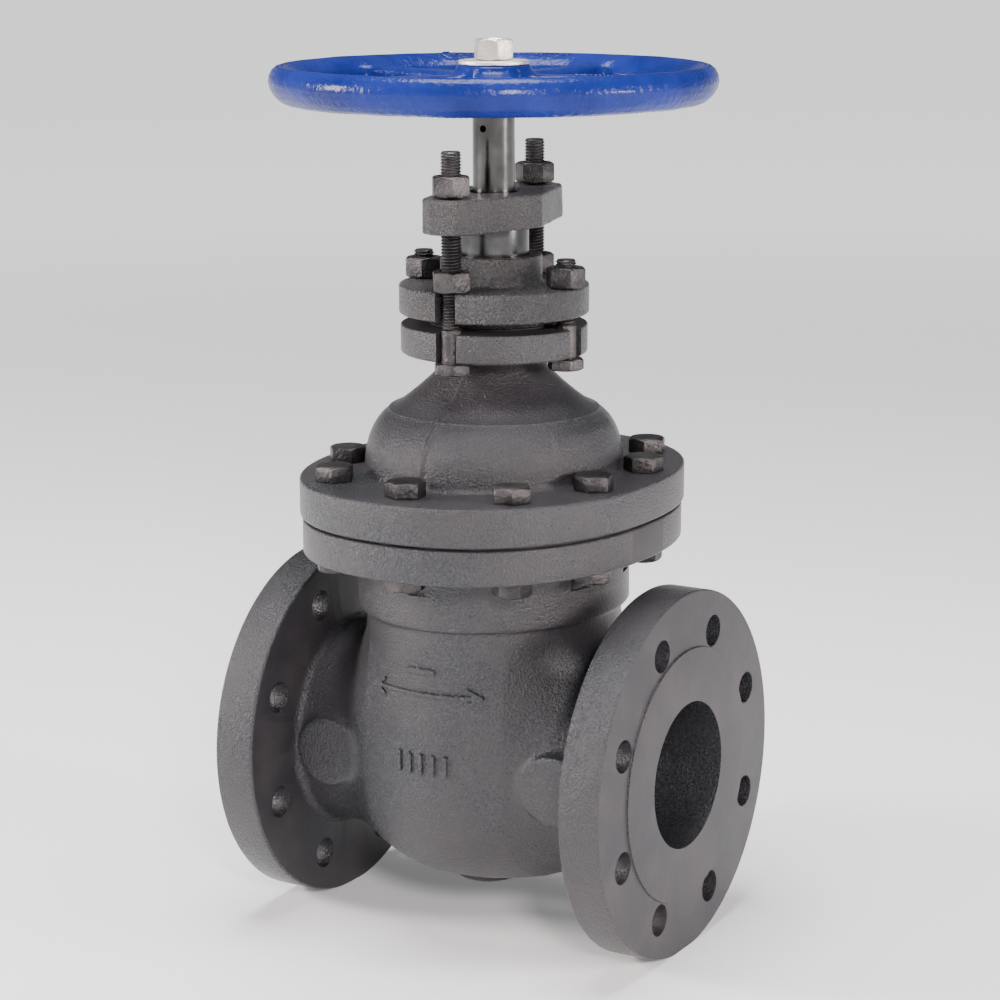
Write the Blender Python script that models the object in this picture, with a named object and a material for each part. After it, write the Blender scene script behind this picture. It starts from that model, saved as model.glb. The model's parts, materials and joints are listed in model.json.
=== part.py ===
"""Flanged cast-iron gate valve, 4 inch (DN 100), Class 250, with a non-rising stem.

The pipe runs along X and the stem stands along Z. Heights are measured from the pipe axis,
and one empty, pipe_axis, lifts everything so that the flats under the pipe flanges are at
z = 0. The valve is shown shut: the wedge is down between the seat rings. Turning the stem
winds the wedge up into the bonnet, and the stem itself stays at its height.
"""

import math

import bmesh
import bpy
from mathutils import Matrix, Vector

MM = 0.001
GAP = 0.3 * MM  # left between pieces that touch
PAST = 2.0 * MM  # how far a cutter runs past the face it opens

# ---------------------------------------------------------------- driving dimensions
# Pipe ends
FACE_TO_FACE = 304.8 * MM
BORE_RADIUS = 50.8 * MM
PIPE_FLANGE_RADIUS = 127.0 * MM
PIPE_FLANGE_THICKNESS = 31.75 * MM
RAISED_FACE_RADIUS = 88.1 * MM
RAISED_FACE_HEIGHT = 1.6 * MM
PIPE_BOLT_CIRCLE_RADIUS = 100.0 * MM
PIPE_BOLT_HOLE_RADIUS = 11.1 * MM
PIPE_BOLTS = 8
FOOT_FLAT_DEPTH = 1.6 * MM

# Wedge, seats and travel
SEAT_WIDTH = 11.2 * MM  # ring of contact outside the bore
WEDGE_HALF_THICKNESS = 28.0 * MM
WEDGE_TAPER = math.radians(5.0)
WEDGE_FACE_THICKNESS = 4.0 * MM
LIFT_MARGIN = 1.5 * MM
SEAT_BOSS_WALL = 4.0 * MM
SEAT_RING_SHANK_WALL = 6.2 * MM
SEAT_RING_SHANK_LENGTH = 12.0 * MM

# Body
CHAMBER_SIDE_CLEARANCE = 10.0 * MM  # from the wedge to the chamber wall, along the pipe
CHAMBER_GUIDE_CLEARANCE = 24.5 * MM  # the same across the pipe, where the guides are
SHELL_WALL = 12.5 * MM
NECK_WALL = 21.2 * MM
NECK_FILLET = 5.0 * MM
BOWL_DEPTH_BELOW_BORE = 38.0 * MM
BOWL_START = 25.0 * MM  # below the pipe axis, where the barrel starts to close
BOWL_EXPONENT = 2.25
TRUNK_ROOT = 0.75  # of the chamber's half width, where a trunk starts
TRUNK_SIDE_SWELL = 0.6  # of the way out to the chamber's side
BOSS_RADIUS = 23.5 * MM
BOSS_DEPTH = 9.0 * MM
BOSS_OFFSET = -5.0 * MM
PAD_RADIUS = 24.0 * MM
PAD_PROUD = 8.0 * MM
PAD_DISTANCE = 90.0 * MM
GUIDE_HALF_WIDTH = 5.0 * MM
GUIDE_STAND_OFF = 5.0 * MM  # from the edge of the wedge to the guide
GUIDE_EAR_HALF_WIDTH = 11.0 * MM
GUIDE_EAR_REACH = 9.0 * MM
GUIDE_EAR_BELOW = 20.0 * MM
GUIDE_EAR_ABOVE = 40.0 * MM
COLLAR_PROUD = 6.5 * MM
COLLAR_RISE = 34.5 * MM  # from the shoulder of the neck to the collar
COLLAR_HEIGHT = 41.0 * MM

# Bonnet joint
BODY_FLANGE_MARGIN_X = 36.0 * MM  # flange edge outside the barrel
BODY_FLANGE_MARGIN_Y = 44.0 * MM
BODY_FLANGE_THICKNESS = 24.2 * MM
BONNET_FLANGE_OVERHANG = 1.6 * MM
BONNET_FLANGE_THICKNESS = 26.2 * MM
JOINT_GASKET_THICKNESS = 1.0 * MM
JOINT_GASKET_INSET = 2.0 * MM
FLANGE_EXPONENT = 2.25
BONNET_BOLT_INSET_X = 21.5 * MM
BONNET_BOLT_INSET_Y = 27.3 * MM
BOLT_OVAL_EXPONENT = 2.6
BONNET_BOLT_ANGLES = (20.3, 54.2, 90.0)  # degrees from the pipe axis, mirrored both ways
BONNET_BOLT_RADIUS = 7.9 * MM
BONNET_BOLT_END = 1.0 * MM  # past the nut
SPOT_FACE_DEPTH = 3.5 * MM  # seat of each nut, sunk into the underside of the body flange

# Bonnet
DOME_FOOT_MARGIN = 2.0 * MM  # dome outside the barrel where it meets its flange
DOME_SHOULDER_RISE = 42.0 * MM
DOME_SHOULDER_RADIUS = 72.5 * MM
DOME_HEIGHT = 80.3 * MM
BONNET_WALL = 12.0 * MM
BONNET_NECK_RADIUS = 31.0 * MM
TOP_FLANGE_RADIUS = 64.0 * MM
TOP_FLANGE_THICKNESS = 19.8 * MM
STEM_BUSH_WALL = 4.7 * MM
STEM_BUSH_LENGTH = 24.0 * MM

# Stem
STEM_RADIUS = 14.3 * MM
STEM_COLLAR_WIDTH = 11.0 * MM
STEM_COLLAR_THICKNESS = 10.4 * MM
STEM_SQUARE = 19.0 * MM
STEM_END_RADIUS = 7.9 * MM
STEM_CROSS_HOLE_RADIUS = 2.4 * MM
STEM_CROSS_HOLE_DROP = 17.0 * MM  # below the handwheel hub
STEM_NUT_WALL = 2.7 * MM  # bronze left between the thread and the flats
STEM_NUT_HEIGHT = 24.0 * MM

# Stuffing box, packing and gland
BOX_SEAT_GASKET = 1.0 * MM
BOX_RECESS_RADIUS = 44.0 * MM
BOX_RECESS_HEIGHT = 5.6 * MM
BOX_FLANGE_RADIUS = 65.0 * MM
BOX_FLANGE_THICKNESS = 20.2 * MM
BOX_NECK_RADIUS = 33.0 * MM
BOX_NECK_HEIGHT = 19.7 * MM
BOX_PILOT_DEPTH = 2.3 * MM
PACKING_WIDTH = 9.2 * MM
PACKING_HEIGHT = 7.9 * MM
PACKING_RINGS = 4
GLAND_STAND_OFF = 18.6 * MM  # gap between the stuffing box and the gland flange
GLAND_THICKNESS = 24.7 * MM
GLAND_LOBE_RADIUS = 20.0 * MM
GLAND_HALF_WIDTH = 38.0 * MM
GLAND_STEM_CLEARANCE = 2.7 * MM
GLAND_SOCKET_DEPTH = 7.0 * MM
BOX_BOLT_CIRCLE_RADIUS = 56.0 * MM
BOX_BOLT_RADIUS = 7.15 * MM
BOX_BOLT_HEAD_HEIGHT = 8.0 * MM
GLAND_BOLT_END = 16.0 * MM  # past the top nut
BOX_BOLT_END = 5.0 * MM

# Hexagons (across flats) and nut heights
HEX_ACROSS_FLATS = 23.8 * MM
BOX_HEAD_ACROSS_FLATS = 22.2 * MM
BOLT_HEAD_HEIGHT = 10.2 * MM
NUT_HEIGHT = 13.9 * MM
BOLT_CLEARANCE = 0.6 * MM

# Handwheel
WHEEL_RADIUS = 151.2 * MM
RIM_WIDTH = 26.0 * MM
RIM_HEIGHT = 29.0 * MM
WHEEL_CLEARANCE = 28.7 * MM  # from the gland bolt ends up to the hub
RIM_BELOW_HUB = 0.6 * MM
HUB_RADIUS = 24.5 * MM
HUB_HEIGHT = 25.0 * MM
SPOKES = 5
FIRST_SPOKE = 16.0  # degrees
SPOKE_WIDTH = 19.0 * MM
SPOKE_HEIGHT = 12.0 * MM
WASHER_RADIUS = 23.6 * MM
WASHER_THICKNESS = 2.6 * MM

# ---------------------------------------------------------------- sizes worked out from them
PIPE_AXIS_HEIGHT = PIPE_FLANGE_RADIUS - FOOT_FLAT_DEPTH
PIPE_FACE = FACE_TO_FACE / 2
WEDGE_RADIUS = BORE_RADIUS + SEAT_WIDTH
LIFT = WEDGE_RADIUS + BORE_RADIUS + LIFT_MARGIN
NECK_RADIUS = BORE_RADIUS + NECK_WALL
CHAMBER_X = WEDGE_RADIUS + CHAMBER_SIDE_CLEARANCE
CHAMBER_Y = WEDGE_RADIUS + CHAMBER_GUIDE_CLEARANCE
BARREL_X = CHAMBER_X + SHELL_WALL
BARREL_Y = CHAMBER_Y + SHELL_WALL
BOWL_BOTTOM = -BORE_RADIUS - BOWL_DEPTH_BELOW_BORE
SEAT_TILT = WEDGE_RADIUS * math.tan(WEDGE_TAPER)
SEAT_BOSS_FACE = WEDGE_HALF_THICKNESS + SEAT_TILT + SEAT_BOSS_WALL

COLLAR_BOTTOM = NECK_RADIUS + COLLAR_RISE
BODY_TOP = COLLAR_BOTTOM + COLLAR_HEIGHT + BODY_FLANGE_THICKNESS
BODY_FLANGE_X = BARREL_X + BODY_FLANGE_MARGIN_X
BODY_FLANGE_Y = BARREL_Y + BODY_FLANGE_MARGIN_Y
BODY_FLANGE_BOTTOM = BODY_TOP - BODY_FLANGE_THICKNESS
BONNET_BOTTOM = BODY_TOP + JOINT_GASKET_THICKNESS + 2 * GAP
BONNET_FLANGE_X = BODY_FLANGE_X + BONNET_FLANGE_OVERHANG
BONNET_FLANGE_Y = BODY_FLANGE_Y + BONNET_FLANGE_OVERHANG
BONNET_FLANGE_TOP = BONNET_BOTTOM + BONNET_FLANGE_THICKNESS
BONNET_NUT_BOTTOM = BODY_FLANGE_BOTTOM + SPOT_FACE_DEPTH - GAP - NUT_HEIGHT
BONNET_BOLT_X = BODY_FLANGE_X - BONNET_BOLT_INSET_X
BONNET_BOLT_Y = BODY_FLANGE_Y - BONNET_BOLT_INSET_Y
DOME_FOOT_X = BARREL_X + DOME_FOOT_MARGIN
DOME_FOOT_Y = BARREL_Y - DOME_FOOT_MARGIN
DOME_SHOULDER = BONNET_FLANGE_TOP + DOME_SHOULDER_RISE
TOP_FLANGE_BOTTOM = BONNET_FLANGE_TOP + DOME_HEIGHT
TOP_FLANGE_TOP = TOP_FLANGE_BOTTOM + TOP_FLANGE_THICKNESS

BOX_BOTTOM = TOP_FLANGE_TOP + BOX_SEAT_GASKET + 2 * GAP
BOX_FLANGE_BOTTOM = BOX_BOTTOM + BOX_RECESS_HEIGHT
BOX_FLANGE_TOP = BOX_FLANGE_BOTTOM + BOX_FLANGE_THICKNESS
BOX_TOP = BOX_FLANGE_TOP + BOX_NECK_HEIGHT
PILOT_BOTTOM = TOP_FLANGE_TOP - BOX_PILOT_DEPTH
PACKING_RADIUS = STEM_RADIUS + GAP + PACKING_WIDTH
PACKING_TOP = BOX_TOP - PACKING_HEIGHT
PACKING_BOTTOM = PACKING_TOP - PACKING_RINGS * (PACKING_HEIGHT + GAP)
GLAND_BOTTOM = BOX_TOP + GLAND_STAND_OFF
GLAND_TOP = GLAND_BOTTOM + GLAND_THICKNESS
GLAND_BOLT_TOP = GLAND_TOP + GAP + NUT_HEIGHT + GLAND_BOLT_END

STEM_COLLAR_RADIUS = STEM_RADIUS + STEM_COLLAR_WIDTH
STEM_COLLAR_TOP = PILOT_BOTTOM - GAP
STEM_COLLAR_BOTTOM = STEM_COLLAR_TOP - STEM_COLLAR_THICKNESS
STEM_RECESS_BOTTOM = STEM_COLLAR_BOTTOM - GAP
STEM_RECESS_RADIUS = STEM_COLLAR_RADIUS + 5 * GAP
STEM_BUSH_RADIUS = STEM_RADIUS + GAP + STEM_BUSH_WALL
STEM_NUT_HALF_WIDTH = STEM_RADIUS + STEM_NUT_WALL
STEM_BUSH_BOTTOM = STEM_RECESS_BOTTOM - STEM_BUSH_LENGTH
STEM_BOTTOM = WEDGE_RADIUS - 2.0 * MM
STEM_NUT_BOTTOM = STEM_BOTTOM + 6.0 * MM
STEM_NUT_TOP = STEM_NUT_BOTTOM + STEM_NUT_HEIGHT
WEDGE_HUB_RADIUS = STEM_NUT_HALF_WIDTH * math.sqrt(2) + 6.0 * MM
WEDGE_HUB_TOP = STEM_NUT_TOP + 7.0 * MM

HUB_BOTTOM = GLAND_BOLT_TOP + WHEEL_CLEARANCE
HUB_TOP = HUB_BOTTOM + HUB_HEIGHT
RIM_RADIUS = WHEEL_RADIUS - RIM_WIDTH / 2
RIM_CENTRE = HUB_BOTTOM + RIM_HEIGHT / 2 - RIM_BELOW_HUB
WASHER_BOTTOM = HUB_TOP + GAP
WHEEL_NUT_BOTTOM = WASHER_BOTTOM + WASHER_THICKNESS + GAP
WHEEL_NUT_TOP = WHEEL_NUT_BOTTOM + NUT_HEIGHT

# ---------------------------------------------------------------- finishes
FINISHES = {  # colour, metallic, roughness
    "cast_iron": ((0.075, 0.072, 0.074), 0.4, 0.55),
    "dark_steel": ((0.09, 0.08, 0.072), 0.8, 0.42),
    "bright_steel": ((0.42, 0.41, 0.40), 1.0, 0.25),
    "zinc_plate": ((0.70, 0.66, 0.58), 1.0, 0.33),
    "blue_enamel": ((0.03, 0.085, 0.42), 0.0, 0.25),
    "bronze": ((0.45, 0.27, 0.10), 1.0, 0.35),
    "graphite": ((0.03, 0.03, 0.032), 0.2, 0.6),
}


def make_finish(name):
    colour, metallic, roughness = FINISHES[name]
    material = bpy.data.materials.new(name)
    material.use_nodes = True
    shader = material.node_tree.nodes["Principled BSDF"]
    shader.inputs["Base Color"].default_value = (*colour, 1.0)
    shader.inputs["Metallic"].default_value = metallic
    shader.inputs["Roughness"].default_value = roughness
    return material


def clear_scene():
    for old in list(bpy.data.objects):
        bpy.data.objects.remove(old, do_unlink=True)


clear_scene()
finishes = {name: make_finish(name) for name in FINISHES}
pipe_axis = bpy.data.objects.new("pipe_axis", None)
pipe_axis.location = (0, 0, PIPE_AXIS_HEIGHT)
bpy.context.scene.collection.objects.link(pipe_axis)


# ---------------------------------------------------------------- shapes
def circle(radius, height, segments):
    turns = (2 * math.pi * k / segments for k in range(segments))
    return [(radius * math.cos(t), radius * math.sin(t), height) for t in turns]


def oval_radius(a, b, exponent, angle):
    """Distance from the centre to a superellipse with semi-axes a and b."""
    across = abs(math.cos(angle) / a) ** exponent + abs(math.sin(angle) / b) ** exponent
    return across ** (-1 / exponent)


def oval(a, b, height, exponent, segments):
    ring = []
    for k in range(segments):
        angle = 2 * math.pi * k / segments
        r = oval_radius(a, b, exponent, angle)
        ring.append((r * math.cos(angle), r * math.sin(angle), height))
    return ring


def loft(rings, closed=False):
    """A solid through rings of points; each end is capped unless the rings close on themselves."""
    bm = bmesh.new()
    loops = [[bm.verts.new(point) for point in ring] for ring in rings]
    count = len(loops[0])
    followers = loops[1:] + (loops[:1] if closed else [])
    for lower, upper in zip(loops, followers):
        for k in range(count):
            n = (k + 1) % count
            bm.faces.new((lower[k], lower[n], upper[n], upper[k]))
    if not closed:
        bm.faces.new(loops[0][::-1])
        bm.faces.new(loops[-1])
    bmesh.ops.recalc_face_normals(bm, faces=bm.faces)
    return bm


def turned(profile, segments=40, closed=False):
    """A solid turned about Z from (radius, height) points; closed profiles make rings."""
    return loft([circle(r, h, segments) for r, h in profile], closed)


def tube(inner, outer, bottom, top, segments=24):
    return turned([(outer, bottom), (outer, top), (inner, top), (inner, bottom)], segments, True)


def rod(radius, bottom, top, segments=24):
    return turned([(radius, bottom), (radius, top)], segments)


def hexagon(across_flats, bottom, top):
    corner = across_flats / math.sqrt(3)
    return turned([(corner, bottom), (corner, top)], 6)


def block(low, high):
    bm = bmesh.new()
    bmesh.ops.create_cube(bm, size=1)
    size = Vector(high) - Vector(low)
    centre = (Vector(high) + Vector(low)) / 2
    bmesh.ops.transform(bm, verts=bm.verts, matrix=Matrix.Translation(centre) @ Matrix.Diagonal((*size, 1)))
    return bm


def prism(outline, bottom, top):
    return loft([[(x, y, h) for x, y in outline] for h in (bottom, top)])


def moved(bm, *matrices):
    for matrix in matrices:
        bmesh.ops.transform(bm, verts=bm.verts, matrix=matrix)
    if any(matrix.determinant() < 0 for matrix in matrices):
        bmesh.ops.recalc_face_normals(bm, faces=bm.faces)
    return bm


def copies(bm, places):
    """One shape with a copy of another at each place, given as a list of moves."""
    shape = together(*[moved(bm.copy(), *place) for place in places])
    bm.free()
    return shape


def together(*shapes):
    """Several shapes that don't meet, as one mesh; used for cutters."""
    whole = bmesh.new()
    for shape in shapes:
        mesh = bpy.data.meshes.new("piece")
        shape.to_mesh(mesh)
        shape.free()
        whole.from_mesh(mesh)
        bpy.data.meshes.remove(mesh)
    return whole


def shift(x=0.0, y=0.0, z=0.0):
    return Matrix.Translation((x, y, z))


def turn(axis, degrees):
    return Matrix.Rotation(math.radians(degrees), 4, axis)


ALONG_X = turn("Y", 90)  # stands a shape turned about Z along +X
ALONG_Y = turn("X", -90)  # and along +Y
MIRROR_X = Matrix.Scale(-1, 4, (1, 0, 0))
SIDES = {"left": -1, "right": 1}


def on_side(sign):
    return MIRROR_X if sign < 0 else Matrix.Identity(4)


# ---------------------------------------------------------------- objects
def add(name, bm, finish, parent=None):
    mesh = bpy.data.meshes.new(name)
    bm.to_mesh(mesh)
    bm.free()
    mesh.materials.append(finishes[finish])
    mesh.shade_smooth()
    mesh.set_sharp_from_angle(angle=math.radians(30))
    piece = bpy.data.objects.new(name, mesh)
    piece.parent = parent or pipe_axis
    bpy.context.scene.collection.objects.link(piece)
    return piece


def helper(name, bm):
    mesh = bpy.data.meshes.new(name)
    bm.to_mesh(mesh)
    bm.free()
    guide = bpy.data.objects.new(name, mesh)
    guide.parent = pipe_axis
    guide.hide_render = True
    guide.display_type = "WIRE"
    bpy.context.scene.collection.objects.link(guide)
    return guide


def change(piece, operation, name, bm):
    modifier = piece.modifiers.new(name, "BOOLEAN")
    modifier.operation = operation
    modifier.solver = "EXACT"
    modifier.object = helper(f"{piece.name}.{name}", bm)


def join(piece, name, bm):
    change(piece, "UNION", name, bm)


def cut(piece, name, bm):
    change(piece, "DIFFERENCE", name, bm)


def bonnet_bolt_places():
    """Centres of the bonnet bolts, counted round from the front."""
    quarter = [math.radians(angle) for angle in BONNET_BOLT_ANGLES]
    around = quarter + [math.pi - t for t in quarter[-2::-1]]
    around += [-t for t in around[::-1]]
    places = []
    for angle in around:
        r = oval_radius(BONNET_BOLT_X, BONNET_BOLT_Y, BOLT_OVAL_EXPONENT, angle)
        places.append((r * math.cos(angle), r * math.sin(angle), angle))
    return places


# ---------------------------------------------------------------- body
def pipe_flange(sign):
    raised = PIPE_FACE - RAISED_FACE_HEIGHT
    profile = [
        (PIPE_FLANGE_RADIUS, PIPE_FACE - PIPE_FLANGE_THICKNESS),
        (PIPE_FLANGE_RADIUS, raised),
        (RAISED_FACE_RADIUS, raised),
        (RAISED_FACE_RADIUS, PIPE_FACE),
    ]
    return moved(turned(profile, 48), ALONG_X, on_side(sign))


def trunk(sign):
    """The branch from the barrel to a pipe flange.

    It climbs to the collar as it nears the barrel, and ends in the fillet behind the flange.
    """
    back = PIPE_FACE - PIPE_FLANGE_THICKNESS
    start = CHAMBER_X * TRUNK_ROOT
    end = back - 2 * NECK_FILLET
    rings = []
    for step in range(6):
        part = step / 5
        swell = (1 - part) ** 2
        top = NECK_RADIUS + (COLLAR_BOTTOM - NECK_RADIUS) * swell
        side = NECK_RADIUS + (CHAMBER_Y - NECK_RADIUS) * swell * TRUNK_SIDE_SWELL
        bottom = NECK_RADIUS + PAD_PROUD * swell
        rings.append((start + (end - start) * part, side, top, bottom))
    for x, grow in ((back - NECK_FILLET, 0.3 * NECK_FILLET), (back + MM, NECK_FILLET)):
        rings.append((x, *[NECK_RADIUS + grow] * 3))
    sections = []
    for x, side, top, bottom in rings:
        turns = [2 * math.pi * k / 32 for k in range(32)]
        heights = [math.sin(t) * (top if math.sin(t) > 0 else bottom) for t in turns]
        sections.append([(x, side * math.cos(t), height) for t, height in zip(turns, heights)])
    return moved(loft(sections), on_side(sign))


def bowl(inset, steps, segments):
    """Rings of the rounded bottom, for the barrel or for the chamber inside it."""
    bottom = BOWL_BOTTOM + inset
    depth = -BOWL_START - bottom
    rings = []
    for step in range(steps + 1):
        t = math.radians(14 + 76 * step / steps)
        spread = math.sin(t) ** (2 / BOWL_EXPONENT)
        height = bottom + depth * (1 - abs(math.cos(t)) ** (2 / BOWL_EXPONENT))
        a, b = (BARREL_X - inset) * spread, (BARREL_Y - inset) * spread
        rings.append(oval(a, b, height, 2.0, segments))
    return rings


def make_body():
    collar_x, collar_y = BARREL_X + COLLAR_PROUD, BARREL_Y + COLLAR_PROUD
    collar = [
        oval(BARREL_X, BARREL_Y, COLLAR_BOTTOM - COLLAR_PROUD, 2.0, 40),
        oval(collar_x, collar_y, COLLAR_BOTTOM + COLLAR_PROUD / 2, 2.0, 40),
        oval(collar_x, collar_y, BODY_FLANGE_BOTTOM + PAST, 2.0, 40),
    ]
    body = add("body", loft(bowl(0, 5, 40) + collar), "cast_iron")
    for side, sign in SIDES.items():
        join(body, f"trunk_{side}", trunk(sign))
        join(body, f"pipe_flange_{side}", pipe_flange(sign))
    pads = []
    face = NECK_RADIUS + PAD_PROUD
    profile = [(PAD_RADIUS, CHAMBER_X * TRUNK_ROOT), (PAD_RADIUS, face - MM), (PAD_RADIUS - MM, face)]
    for sign in SIDES.values():
        for front in (-1, 1):
            pads.append(moved(turned(profile, 24), turn("X", -90 * front), shift(x=sign * PAD_DISTANCE)))
    join(body, "bypass_pads", together(*pads))
    boss = rod(BOSS_RADIUS, BOWL_BOTTOM - BOSS_DEPTH, BOWL_BOTTOM + SHELL_WALL - PAST, 24)
    join(body, "bottom_boss", moved(boss, shift(x=BOSS_OFFSET)))
    flange = [(x, y) for x, y, _ in oval(BODY_FLANGE_X, BODY_FLANGE_Y, 0, FLANGE_EXPONENT, 40)]
    join(body, "top_flange", prism(flange, BODY_FLANGE_BOTTOM, BODY_TOP))
    chamber = bowl(SHELL_WALL, 4, 32) + [oval(CHAMBER_X, CHAMBER_Y, BODY_TOP + PAST, 2.0, 32)]
    cut(body, "chamber", loft(chamber))
    sides = [[ALONG_X, on_side(sign)] for sign in SIDES.values()]
    seat_boss = rod(WEDGE_RADIUS + SEAT_BOSS_WALL, SEAT_BOSS_FACE, BARREL_X, 32)
    join(body, "seat_bosses", copies(seat_boss, sides))
    guides = []
    for sign in (-1, 1):
        near = WEDGE_RADIUS + GUIDE_STAND_OFF
        y0, y1 = sorted((sign * near, sign * (CHAMBER_Y + SHELL_WALL / 2)))
        corner = (-GUIDE_HALF_WIDTH, y0, -GUIDE_EAR_BELOW - PAST)
        guides.append(block(corner, (GUIDE_HALF_WIDTH, y1, BODY_TOP - PAST)))
    join(body, "guides", together(*guides))
    cut(body, "bore", moved(rod(BORE_RADIUS, -PIPE_FACE - PAST, PIPE_FACE + PAST, 40), ALONG_X))
    pocket = BORE_RADIUS + SEAT_RING_SHANK_WALL + GAP
    pocket_end = SEAT_BOSS_FACE + SEAT_RING_SHANK_LENGTH + GAP
    cut(body, "seat_pockets", copies(rod(pocket, SEAT_BOSS_FACE - PAST, pocket_end, 32), sides))
    inner = PIPE_FACE - PIPE_FLANGE_THICKNESS - PAST
    hole = moved(rod(PIPE_BOLT_HOLE_RADIUS, inner, PIPE_FACE + PAST, 12), shift(x=PIPE_BOLT_CIRCLE_RADIUS))
    around = [turn("Z", 360 * (k + 0.5) / PIPE_BOLTS) for k in range(PIPE_BOLTS)]
    cut(body, "pipe_bolt_holes", copies(hole, [[place, *side] for side in sides for place in around]))
    holes = []
    spot = HEX_ACROSS_FLATS / math.sqrt(3) + GAP * 3
    for x, y, _ in bonnet_bolt_places():
        profile = [
            (spot, BONNET_NUT_BOTTOM - BONNET_BOLT_END - PAST),
            (spot, BONNET_NUT_BOTTOM + NUT_HEIGHT + GAP),
            (BONNET_BOLT_RADIUS + BOLT_CLEARANCE, BONNET_NUT_BOTTOM + NUT_HEIGHT + GAP),
            (BONNET_BOLT_RADIUS + BOLT_CLEARANCE, BODY_TOP + PAST),
        ]
        holes.append(moved(turned(profile, 12), shift(x, y)))
    cut(body, "bonnet_bolt_holes", together(*holes))
    half = FACE_TO_FACE
    cut(body, "foot_flats", block((-half, -half, -PIPE_FLANGE_RADIUS * 2), (half, half, -PIPE_AXIS_HEIGHT)))


# ---------------------------------------------------------------- seats and wedge
def on_slope(x):
    """Moves that stand a shape on the wedge's slope, at a distance along the pipe."""
    return turn("Y", math.degrees(WEDGE_TAPER)), shift(x=x)


def make_seat_ring(side, sign):
    front = WEDGE_HALF_THICKNESS - SEAT_TILT - PAST
    rim = WEDGE_RADIUS - MM
    shank = BORE_RADIUS + SEAT_RING_SHANK_WALL
    back = SEAT_BOSS_FACE - GAP
    end = SEAT_BOSS_FACE + SEAT_RING_SHANK_LENGTH
    profile = [(BORE_RADIUS, front), (rim, front), (rim, back)]
    profile += [(shank, back), (shank, end), (BORE_RADIUS, end)]
    ring = add(f"seat_ring_{side}", moved(turned(profile, 32, True), ALONG_X, on_side(sign)), "bronze")
    reach = 2 * WEDGE_RADIUS
    off = block((-reach, -reach, -reach), (GAP, reach, reach))
    cut(ring, "seat_slope", moved(off, *on_slope(WEDGE_HALF_THICKNESS), on_side(sign)))


def make_wedge():
    reach = 2 * WEDGE_RADIUS
    wedge = add("wedge", moved(rod(WEDGE_RADIUS, -reach / 2, reach / 2, 40), ALONG_X), "cast_iron")
    core = WEDGE_HALF_THICKNESS - WEDGE_FACE_THICKNESS - GAP
    for side, sign in SIDES.items():
        off = block((0, -reach, -reach), (reach, reach, reach))
        cut(wedge, f"slope_{side}", moved(off, *on_slope(core), on_side(sign)))
    waist = core - 2 * MM
    root = BORE_RADIUS - 4 * MM
    hub = [(waist, root), (waist, WEDGE_RADIUS), (WEDGE_HUB_RADIUS, WEDGE_RADIUS + 2 * MM)]
    join(wedge, "hub", turned(hub + [(WEDGE_HUB_RADIUS, WEDGE_HUB_TOP)], 32))
    ears = []
    for sign in (-1, 1):
        y0, y1 = sorted((sign * root, sign * (WEDGE_RADIUS + GUIDE_EAR_REACH)))
        corner = (-GUIDE_EAR_HALF_WIDTH, y0, -GUIDE_EAR_BELOW)
        ears.append(block(corner, (GUIDE_EAR_HALF_WIDTH, y1, GUIDE_EAR_ABOVE)))
    join(wedge, "ears", together(*ears))
    slots = []
    for sign in (-1, 1):
        inner = WEDGE_RADIUS + GUIDE_STAND_OFF - 2 * GAP
        low, high = sorted((sign * inner, sign * (WEDGE_RADIUS + GUIDE_EAR_REACH + PAST)))
        half = GUIDE_HALF_WIDTH + 2 * GAP
        slots.append(block((-half, low, -GUIDE_EAR_BELOW - PAST), (half, high, GUIDE_EAR_ABOVE + PAST)))
    cut(wedge, "ear_slots", together(*slots))
    room = STEM_NUT_HALF_WIDTH + GAP
    open_end = (WEDGE_HUB_RADIUS + PAST, room, STEM_NUT_TOP + GAP)
    cut(wedge, "nut_pocket", block((-room, -room, STEM_NUT_BOTTOM - GAP), open_end))
    well = STEM_BOTTOM - LIFT - 2 * MM
    cut(wedge, "stem_well", rod(STEM_RADIUS + 1.2 * MM, well, WEDGE_HUB_TOP + PAST, 24))
    for side, sign in SIDES.items():
        outer = WEDGE_RADIUS - MM
        ring = tube(BORE_RADIUS, outer, -WEDGE_FACE_THICKNESS, 0, 32)
        placed = moved(ring, ALONG_X, *on_slope(WEDGE_HALF_THICKNESS), on_side(sign))
        add(f"wedge_face_{side}", placed, "bronze")
    half = STEM_NUT_HALF_WIDTH
    stem_nut = add("stem_nut", block((-half, -half, STEM_NUT_BOTTOM), (half, half, STEM_NUT_TOP)), "bronze")
    cut(stem_nut, "thread", rod(STEM_RADIUS + GAP, STEM_NUT_BOTTOM - PAST, STEM_NUT_TOP + PAST, 24))


# ---------------------------------------------------------------- bonnet
def dome(inset, segments):
    """Rings of the bonnet's dome, or of the space inside it, from its flange to its neck."""
    shoulder = DOME_SHOULDER_RADIUS
    neck = BONNET_NECK_RADIUS
    cone = TOP_FLANGE_BOTTOM - DOME_SHOULDER
    sections = [
        (DOME_FOOT_X, DOME_FOOT_Y, BONNET_FLANGE_TOP - PAST),
        (DOME_FOOT_X, DOME_FOOT_Y, BONNET_FLANGE_TOP + 0.05 * DOME_SHOULDER_RISE),
    ]
    for part in (0.35, 0.7, 0.9):
        bulge = math.sqrt(1 - (part * 0.82) ** 2.4)
        foot = (DOME_FOOT_X - shoulder, DOME_FOOT_Y - shoulder)
        fade = max(0.0, (bulge - 0.5) / 0.5)
        height = BONNET_FLANGE_TOP + DOME_SHOULDER_RISE * part
        sections.append((shoulder + foot[0] * fade, shoulder + foot[1] * fade, height))
    for part in (0.0, 0.2, 0.45, 0.75, 1.0):
        r = neck + (shoulder - neck) * (1 - part) ** 1.35
        sections.append((r, r, DOME_SHOULDER + cone * part))
    return [oval(a - inset, b - inset, h - inset * 0.6, 2.0, segments) for a, b, h in sections]


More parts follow.
